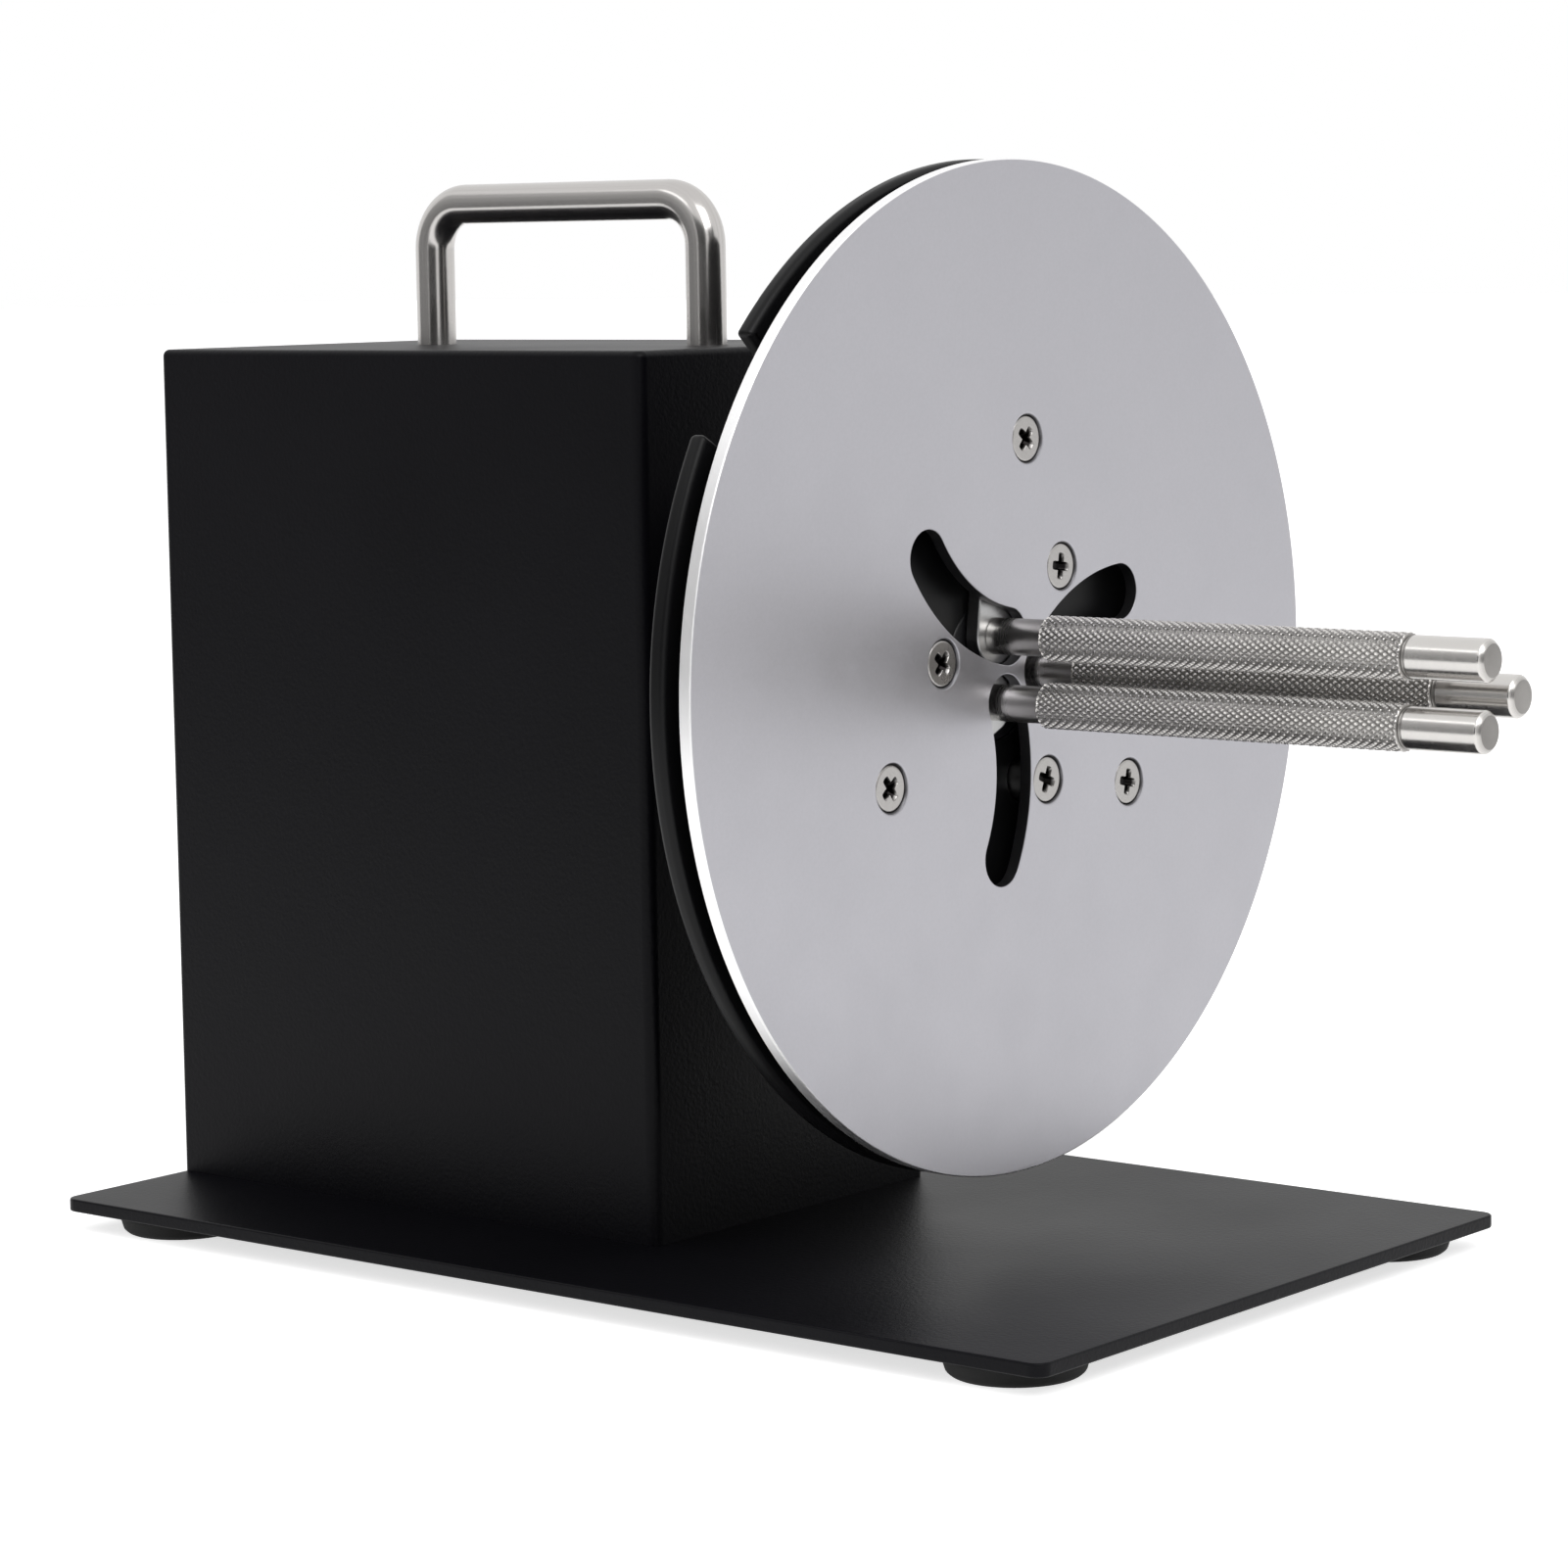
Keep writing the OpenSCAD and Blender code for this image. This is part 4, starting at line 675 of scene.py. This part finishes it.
def cross_head(x, at, turn, r, recess, deep, cone, lie=1):
    """Screw head on a polar grid: a flat face with a rolled rim and a cross recess, whose depth falls off over
    its sloping walls and rises to the ends of its arms; a cone and a shank close it behind. Returns its points,
    its faces and how much painted shade each point gets, darkest in the cross recess."""
    sides, rim_w, roll, arm_hw, wall, slope, darken = 192, 0.5, 0.5, recess * 0.13, 0.22, recess * 0.24, 2.5
    a = np.linspace(0, 2 * np.pi, sides, endpoint=False)
    rings = np.concatenate([np.linspace(0.02, recess * 0.62, 40), np.linspace(recess * 0.66, r - rim_w, 8),
                            r - rim_w + rim_w * np.sin(np.linspace(0.2, 1.0, 5) * np.pi / 2)])[:, None]
    u, v = rings * np.cos(a + math.radians(turn)), rings * np.sin(a + math.radians(turn))
    arm = np.maximum(*(np.clip((arm_hw - np.abs(side)) / wall, -1, 1) for side in (u, v)))
    sunk = deep * np.clip((arm + 1) / 2, 0, 1) * np.clip((recess / 2 - rings) / slope, 0, 1)
    rim = np.clip(rings - (r - rim_w), 0, None)
    sag = rim_w - np.sqrt(np.clip(rim_w ** 2 - rim ** 2, 0, None))

    def ring(behind, radius):
        """Points round the screw's line, at a depth behind the face."""
        return np.stack(np.broadcast_arrays(x - lie * behind, at[0] + radius * np.cos(a),
                                            at[1] + radius * np.sin(a)), -1).reshape(-1, sides, 3)

    tail = [ring(behind, radius) for behind, radius in (*cone, (cone[-1][0], 0))]
    points = np.concatenate([ring(deep, 0), ring(sunk + roll * sag, rings), *tail])
    # Painted shade: the cross recess is painted dark by its depth, fully at its middle
    dark = np.zeros(points.shape[:2])
    dark[0], dark[1:len(sunk) + 1] = 1, np.clip(darken * sunk / deep, 0, 1)
    return points.reshape(-1, 3), grid_faces(len(points), sides), dark.ravel()


def make_disc_screws():
    """Countersunk screws of the disc, each left at the turn it was driven to."""
    rim, sink, play, recess, deep = head_d / 2, 0.45, 0.58, 6.0, 1.7
    sets = (("disc_screw_heads", "disc_screws", screw_r, screw_turn, (8, 41, 22), x_disc - hub_back),
            ("pivot_screw_heads", "pivot_screws", pivot_r, pivot_turn, (40, 52, 12), x_disc - arm_back - 0.2))
    for name, node, r, turn, cuts, back in sets:
        cone = [(0.3, rim - 0.6), (rim - shank_r, shank_r), (back, shank_r)]
        spots = [about_spindle(at_third(polar(r, turn), k)) for k in range(3)]
        heads = [cross_head(x_disc - sink, spot, cut, rim - play, recess, deep, cone)
                 for spot, cut in zip(spots, cuts)]
        piece(name, [h[:2] for h in heads], finishes["bright_screws"], "rotor", node,
              recess=np.concatenate([h[2] for h in heads]))


# Bearing flange and hub, in the gap behind the wheel

def make_bearing_flange():
    """Turned cartridge: flange on the housing's front, and nose with eased edges and a shallow recess. The bore
    is plain: the seats of the bearings, inside, are not shown."""
    barrel, recess, bore = bearing_d / 2 + barrel_wall, bearing_d / 2, bearing_d / 2 - bearing_lip
    x_tail = x_nose - nose_lip - bearing_gap - bearing_w - tail_end
    x_flange, x_floor, rim, edge = x_front + flange_t, x_nose - nose_lip, flange_d / 2, 0.8
    profile = eased([(x_tail, bore), (x_tail, barrel), (x_front, barrel), (x_front, rim), (x_flange, rim),
                     (x_flange, barrel), (x_nose, barrel), (x_nose, recess), (x_floor, recess), (x_floor, bore),
                     (x_tail, bore)], edge, 5, closed=False)
    piece("bearing_cartridge", [turned(profile, spindle_line, steps=128)], finishes["black_anodised"],
          "stand", "bearing_housing")


def socket_screw(x, at, r, h, key, deep, shank, length):
    """Socket head screw along X: turned head with an eased top, six-sided socket, shank behind."""
    top = plate(round_outline(r, at, 48), [hex_outline(key, at)], x, x + h, 0.4, hole_ease=0.12)
    floor = plate(round_outline(r - 0.5, at, 48), [], x + 0.2, x + h - deep, 0.1)
    profile = eased([(x - length, 0), (x - length, shank), (x, shank), (x, 0)], 0.2, 3, closed=False)
    return [top, floor, turned(profile, (0, *at), steps=32)]


def make_flange_screws():
    """Four socket screws of the bearing flange."""
    inside_rim, r, h, key, deep, shank, length = 6, 4.2, 5.0, 2.3, 3.0, 2.5, 16.0
    surfaces = []
    for a in (45, 135, 225, 315):
        at = about_spindle(polar(flange_d / 2 - inside_rim, a))
        surfaces += socket_screw(x_front + flange_t, at, r, h, key, deep, shank, length)
    piece("flange_socket_screws", surfaces, finishes["black_screws"], "stand", "bearing_housing_screws")


def make_hub():
    """Turned hub: barrel with an eased end, flange behind the wheel, boss in the wheel's bore."""
    x0, x_end, edge = x_nose + hub_gap, hub_front - 2, 0.7
    barrel, rim, boss, bore = hub_d / 2, screw_r + standoff_r + 2, wheel_bore_r - run_fit, spindle_d / 2
    profile = eased([(x0, bore), (x0, barrel), (hub_back, barrel), (hub_back, rim), (hub_front, rim),
                     (hub_front, boss), (wheel_front, boss), (wheel_front, 0), (x_end, 0), (x_end, bore),
                     (x0, bore)], edge, 5, closed=False)
    piece("hub_turning", [turned(profile, spindle_line, steps=128)], finishes["black_anodised"],
          "rotor", "hub")


# Rear face

def make_rear_panel():
    """Panel let in between the sides, with five vent slots and the openings of the switch, the knob and the
    inlet."""
    play, corner, edge = 0.2, 1.2, 0.25
    vent_w, vent_h, vent_r, vent_low, vent_pitch = 44, 3, 1.45, 27.5, 7
    w, h = body_w - 2 * sheet_t - 2 * play, body_h - sheet_t - 2 * play
    holes = [box_outline(vent_w, vent_h, vent_r, (0, axis_h + vent_low + vent_pitch * i)) for i in range(5)]
    holes += [box_outline(switch_w, switch_h, 0.4, (-control_side, control_z)),
              round_outline(bush_r, (control_side, control_z), 40),
              round_outline(inlet_r, (-control_side, plate_top + inlet_up), 48)]
    outline = box_outline(w, h, corner, (0, plate_top + play + h / 2))
    panel = plate(outline, holes, x_rear, x_rear + sheet_t, edge)
    piece("rear_sheet", [panel], finishes["powder_coat"], "stand", "rear_panel")


def make_panel_screws():
    """Six pan head screws of the rear panel, facing back."""
    from_end, head_h, head_r, recess, deep, next_turn = 14, 1.8, 2.75, 3.4, 1.1, 17
    y = body_w / 2 - sheet_t - flange_w / 2
    levels = (plate_top + from_end, plate_top + body_h / 2, body_top - from_end)
    spots = [(s * y, z) for z in levels for s in (-1, 1)]
    cone = [(1.6, 2.9), (head_h, 2.9), (head_h, 1.5), (7.0, 1.5)]
    heads = [cross_head(x_rear - head_h, spot, next_turn * i, head_r, recess, deep, cone, lie=-1)
             for i, spot in enumerate(spots)]
    piece("panel_screw_heads", [h[:2] for h in heads], finishes["black_screws"],
          "stand", "rear_panel_screws")


def make_switch():
    """Switch frame with an eased face round the rocker's well, and the body behind the panel."""
    at, frame_w, frame_h, frame_t, well_end, body_end = (-control_side, control_z), 16, 23.2, 2, 9, 17
    well = box_outline(rocker_w + 2 * slide_gap, 2 * (rocker_r + slide_gap), 0.5, at)
    outside = box_outline(switch_w, switch_h, 0.5, at)
    face = plate(box_outline(frame_w, frame_h, 1.6, at), [well], x_rear - frame_t, x_rear, 0.7, hole_ease=0.3)
    case = plate(outside, [well], x_rear, x_rear + well_end, 0.1)
    back = plate(outside, [], x_rear + well_end, x_rear + body_end, 0.3)
    piece("switch_frame", [face, case, back], finishes["control_plastic"], "stand", "switch_body")


def make_rocker():
    """Rocker: a hollow face between two shoulders and a flat back, drawn in X and Z and carried across Y with
    eased ends, and the pin that it tilts on."""
    back_x, back_hz, side_x, side_hz = 3.0, 7.6, -1.0, 8.3
    face_x, hollow, face_hz, pin, pin_hl = -6.1, 1.5, 5.6, 1.2, 6
    z = np.linspace(-face_hz, face_hz, 21)
    face = np.stack([face_x + hollow * (1 - (z / face_hz) ** 2), z], -1)
    back = [[back_x, -back_hz], [back_x, back_hz], [side_x, side_hz]]
    outline = np.vstack([back, face[::-1], [[side_x, -side_hz]]])
    outline = eased(outline, 0.5, 5) + [x_rear + 2, control_z]
    body = plate(outline, [], -control_side - rocker_w / 2, -control_side + rocker_w / 2, 0.6, from_side)
    profile = eased([(-pin_hl, 0), (-pin_hl, pin), (pin_hl, pin), (pin_hl, 0)], 0.2, 3, closed=False)
    axle = turned(profile, (x_rear + 2, -control_side, control_z), (0, 1, 0), 32)
    piece("rocker_paddle", [body, axle], finishes["rocker_plastic"], "rocker", "switch_rocker")


def make_knob():
    """Knob on a grid of places and angles: a turned profile less twelve round flutes on the grip, and a groove
    in the cap that points the setting."""
    sides, flutes, flute_d, flute_hw, line_hw, line_d = 288, 12, 0.7, 0.2, 0.55, 0.5
    r, skirt, well, well_r, rise = knob_d / 2, knob_l - 4.6, knob_l - 5, 6.4, knob_l - 0.8
    profile = eased([(0, 0), (0, r - 2.2), (0.9, r - 1.3), (skirt, r - 0.8), (knob_l - 4, r), (rise, r),
                     (rise, well_r), (well, well_r), (well, 0)], 0.5, 5, closed=False)
    places = np.linspace(1.6, knob_l - 5.5, 16)
    grip = np.stack([places, np.interp(places, [0.9, skirt], [r - 1.3, r - 0.8])], -1)
    cap = np.stack([np.zeros(14), np.linspace(0.3, r - 2.9, 14)], -1)
    cut = int(np.argmax(profile[:, 0] > 1.2))
    rows = np.vstack([profile[:1], cap, profile[1:cut], grip, profile[cut:]])
    x = rows[:, :1]
    a = np.linspace(0, 2 * np.pi, sides, endpoint=False)
    on_grip = np.clip((x - 0.5) / 0.8, 0, 1) * np.clip((well - x) / 0.8, 0, 1) * (rows[:, 1:] > well_r + 0.1)
    flute = np.clip(1 - (((a / (2 * np.pi) * flutes + 0.5) % 1 - 0.5) / flute_hw) ** 2, 0, 1)
    radius = rows[:, 1:] - flute_d * on_grip * flute
    y, z = radius * np.cos(a), radius * np.sin(a)
    line = (np.abs(y) < line_hw) & (z > r * 0.3) & (x < 0.05)
    sunk = x + line_d * line
    points = np.stack([x_rear - knob_l + sunk, control_side + y, control_z + z], -1).reshape(-1, 3)
    piece("torque_knob_grip", [(points, grid_faces(len(rows), sides))], finishes["control_plastic"],
          "knob", "torque_knob")


def make_inlet():
    """Power inlet: turned collar and socket with a pin in the middle."""
    at, collar_r, socket_r, contact_r = (0, -control_side, plate_top + inlet_up), 7, 3.2, 1.05
    x_back, x_floor, x_face, x_pin = x_rear + 14, x_rear + 9, x_rear - 1.6, x_rear + 1
    collar = eased([(x_back, 0), (x_back, inlet_r), (x_rear, inlet_r), (x_rear, collar_r), (x_face, collar_r),
                    (x_face, socket_r), (x_floor, socket_r), (x_floor, 0)], 0.45, 5, closed=False)
    pin = eased([(x_floor, 0), (x_floor, contact_r), (x_pin, contact_r), (x_pin, 0)], 0.4, 5, closed=False)
    piece("inlet_socket", [turned(collar, at, steps=72), turned(pin, at, steps=32)],
          finishes["control_plastic"], "stand", "power_inlet")


def make_pot_nut():
    """Six-sided nut of the knob's bush."""
    at, nut_r, nut_t = (control_side, control_z), 5.6, 2
    outline = np.asarray(at) + eased(hex_outline(nut_r), 0.4, 4)
    nut = plate(outline, [round_outline(bush_r, at, 40)], x_rear - nut_t, x_rear, 0.3)
    piece("bush_nut", [nut], finishes["nickel"], "stand", "pot_nut")


make_base_plate()
make_feet()
make_housing()
make_handle()
make_disc()
make_wheel()
for third in range(3):
    make_arm(third)
    make_rod(third)
make_disc_screws()
make_bearing_flange()
make_flange_screws()
make_hub()
make_rear_panel()
make_panel_screws()
make_switch()
make_rocker()
make_knob()
make_inlet()
make_pot_nut()


# Studio, in metres

def make_camera():
    """Camera at the photograph's place: azimuth, height and lens found from the disc's outline and the plate's
    corners."""
    azimuth, height, roll = math.radians(38.87), math.radians(5.71), math.radians(-0.88)
    place = Vector((0.64925, -0.8049, 0.2260))
    back = Vector((math.sin(azimuth) * math.cos(height), -math.cos(azimuth) * math.cos(height),
                   math.sin(height)))
    right = Vector((math.cos(azimuth), math.sin(azimuth), 0))
    up = back.cross(right)
    level = (math.cos(roll) * right + math.sin(roll) * up, math.cos(roll) * up - math.sin(roll) * right, back)
    data = bpy.data.cameras.new("photo_camera")
    data.sensor_width, data.lens, data.shift_x, data.shift_y = 36.0, 106.4, -0.0224, -0.0475
    data.clip_start, data.clip_end = 0.05, 50
    camera = linked("photo_camera", data)
    camera.matrix_world = Matrix.Translation(place) @ Matrix(level).transposed().to_4x4()
    bpy.context.scene.camera = camera


def seen_by(tree):
    """Two flags: a ray straight from the camera, and one that comes by way of metal or glass."""
    rays = add(tree, "ShaderNodeLightPath").outputs
    return rays["Is Camera Ray"], maths(tree, "MAXIMUM", rays["Is Glossy Ray"], rays["Is Transmission Ray"])


def make_floor():
    """Wide pale floor, lifted towards white where the camera or a metal sees it. It keeps a faint shadow."""
    half, grey, lift, mirrored_lift = 15, 0.82, 0.68, 0.52
    mesh = bpy.data.meshes.new("studio_floor")
    corners = [(-half, -half, 0), (half, -half, 0), (half, half, 0), (-half, half, 0)]
    mesh.from_pydata(corners, [], [(0, 1, 2, 3)])
    floor = linked("studio_floor", mesh)
    material, tree, shader = blank("pale_floor")
    direct, mirrored = seen_by(tree)
    strength = maths(tree, "MAXIMUM", maths(tree, "MULTIPLY", direct, lift),
                     maths(tree, "MULTIPLY", mirrored, mirrored_lift))
    wire(tree, shader, Base_Color=(grey, grey, grey, 1), Roughness=0.9, Specular_IOR_Level=0.1,
         Emission_Color=(1, 1, 1, 1), Emission_Strength=strength)
    mesh.materials.append(material)


def make_world():
    """Soft white room; seen by the camera, or in metal, it is plain white."""
    room_strength = 0.62
    world = bpy.data.worlds.new("studio_world")
    bpy.context.scene.world = world
    world.use_nodes = True
    tree = world.node_tree
    room = wire(tree, tree.nodes["Background"], Color=(1, 1, 1, 1), Strength=room_strength)
    plain = add(tree, "ShaderNodeBackground", Color=(1, 1, 1, 1), Strength=1.0)
    seen = maths(tree, "MAXIMUM", *seen_by(tree))
    mix = add(tree, "ShaderNodeMixShader", i0=seen, i1=room.outputs[0], i2=plain.outputs[0])
    tree.links.new(mix.outputs[0], tree.nodes["World Output"].inputs["Surface"])


def soft_box(name, place, target, size, watts):
    """Square area lamp at a place, facing a target."""
    data = bpy.data.lights.new(name, "AREA")
    data.shape, data.size, data.energy = "SQUARE", size, watts
    lamp = linked(name, data)
    lamp.location = place
    lamp.rotation_euler = (Vector(target) - Vector(place)).to_track_quat("-Z", "Y").to_euler()


def flag(name, centre, width, low, high, glow_low, glow_high):
    """Glowing card of the studio, turned to the object, that only polished surfaces see: it paints a reflection
    on them and lights nothing. Its glow runs from one value at the foot to another at the head."""
    c = np.array(centre, float)
    side = np.array([-c[1], c[0]]) / np.linalg.norm(c) * width / 2
    points = [(*(c + k * side), z) for k, z in ((-1, low), (1, low), (1, high), (-1, high))]
    mesh = bpy.data.meshes.new(name)
    mesh.from_pydata(points, [], [(0, 1, 2, 3)])
    card = linked(name, mesh)
    material, tree, shader = blank(name)
    place = add(tree, "ShaderNodeTexCoord").outputs["Object"]
    height = add(tree, "ShaderNodeSeparateXYZ", Vector=place).outputs["Z"]
    glow = spread(tree, height, low, high, glow_low, glow_high)
    wire(tree, shader, Base_Color=(0, 0, 0, 1), Specular_IOR_Level=0, Emission_Color=(1, 1, 1, 1),
         Emission_Strength=glow)
    mesh.materials.append(material)
    card.visible_camera = card.visible_diffuse = card.visible_shadow = card.visible_transmission = False


make_camera()
make_floor()
make_world()
# Glowing cards seen only in reflections: painted reflections, darker than the room, on the metal and the coat
flag("left_flag", (-0.56, -0.66), 1.1, 0.0, 0.9, 0.2, 0.6)
flag("camera_flag", (0.45, -1.2), 1.15, 0.0, 0.9, 0.03, 0.14)
flag("right_flag", (1.25, -0.24), 0.85, 0.0, 0.9, 0.08, 0.2)
soft_box("key_box", (1.3, -0.6, 1.5), (0, 0, 0.12), 1.2, 16)
soft_box("fill_box", (-0.9, -1.6, 1.1), (0, 0, 0.12), 1.4, 9)
bpy.context.scene.view_settings.view_transform = "Standard"
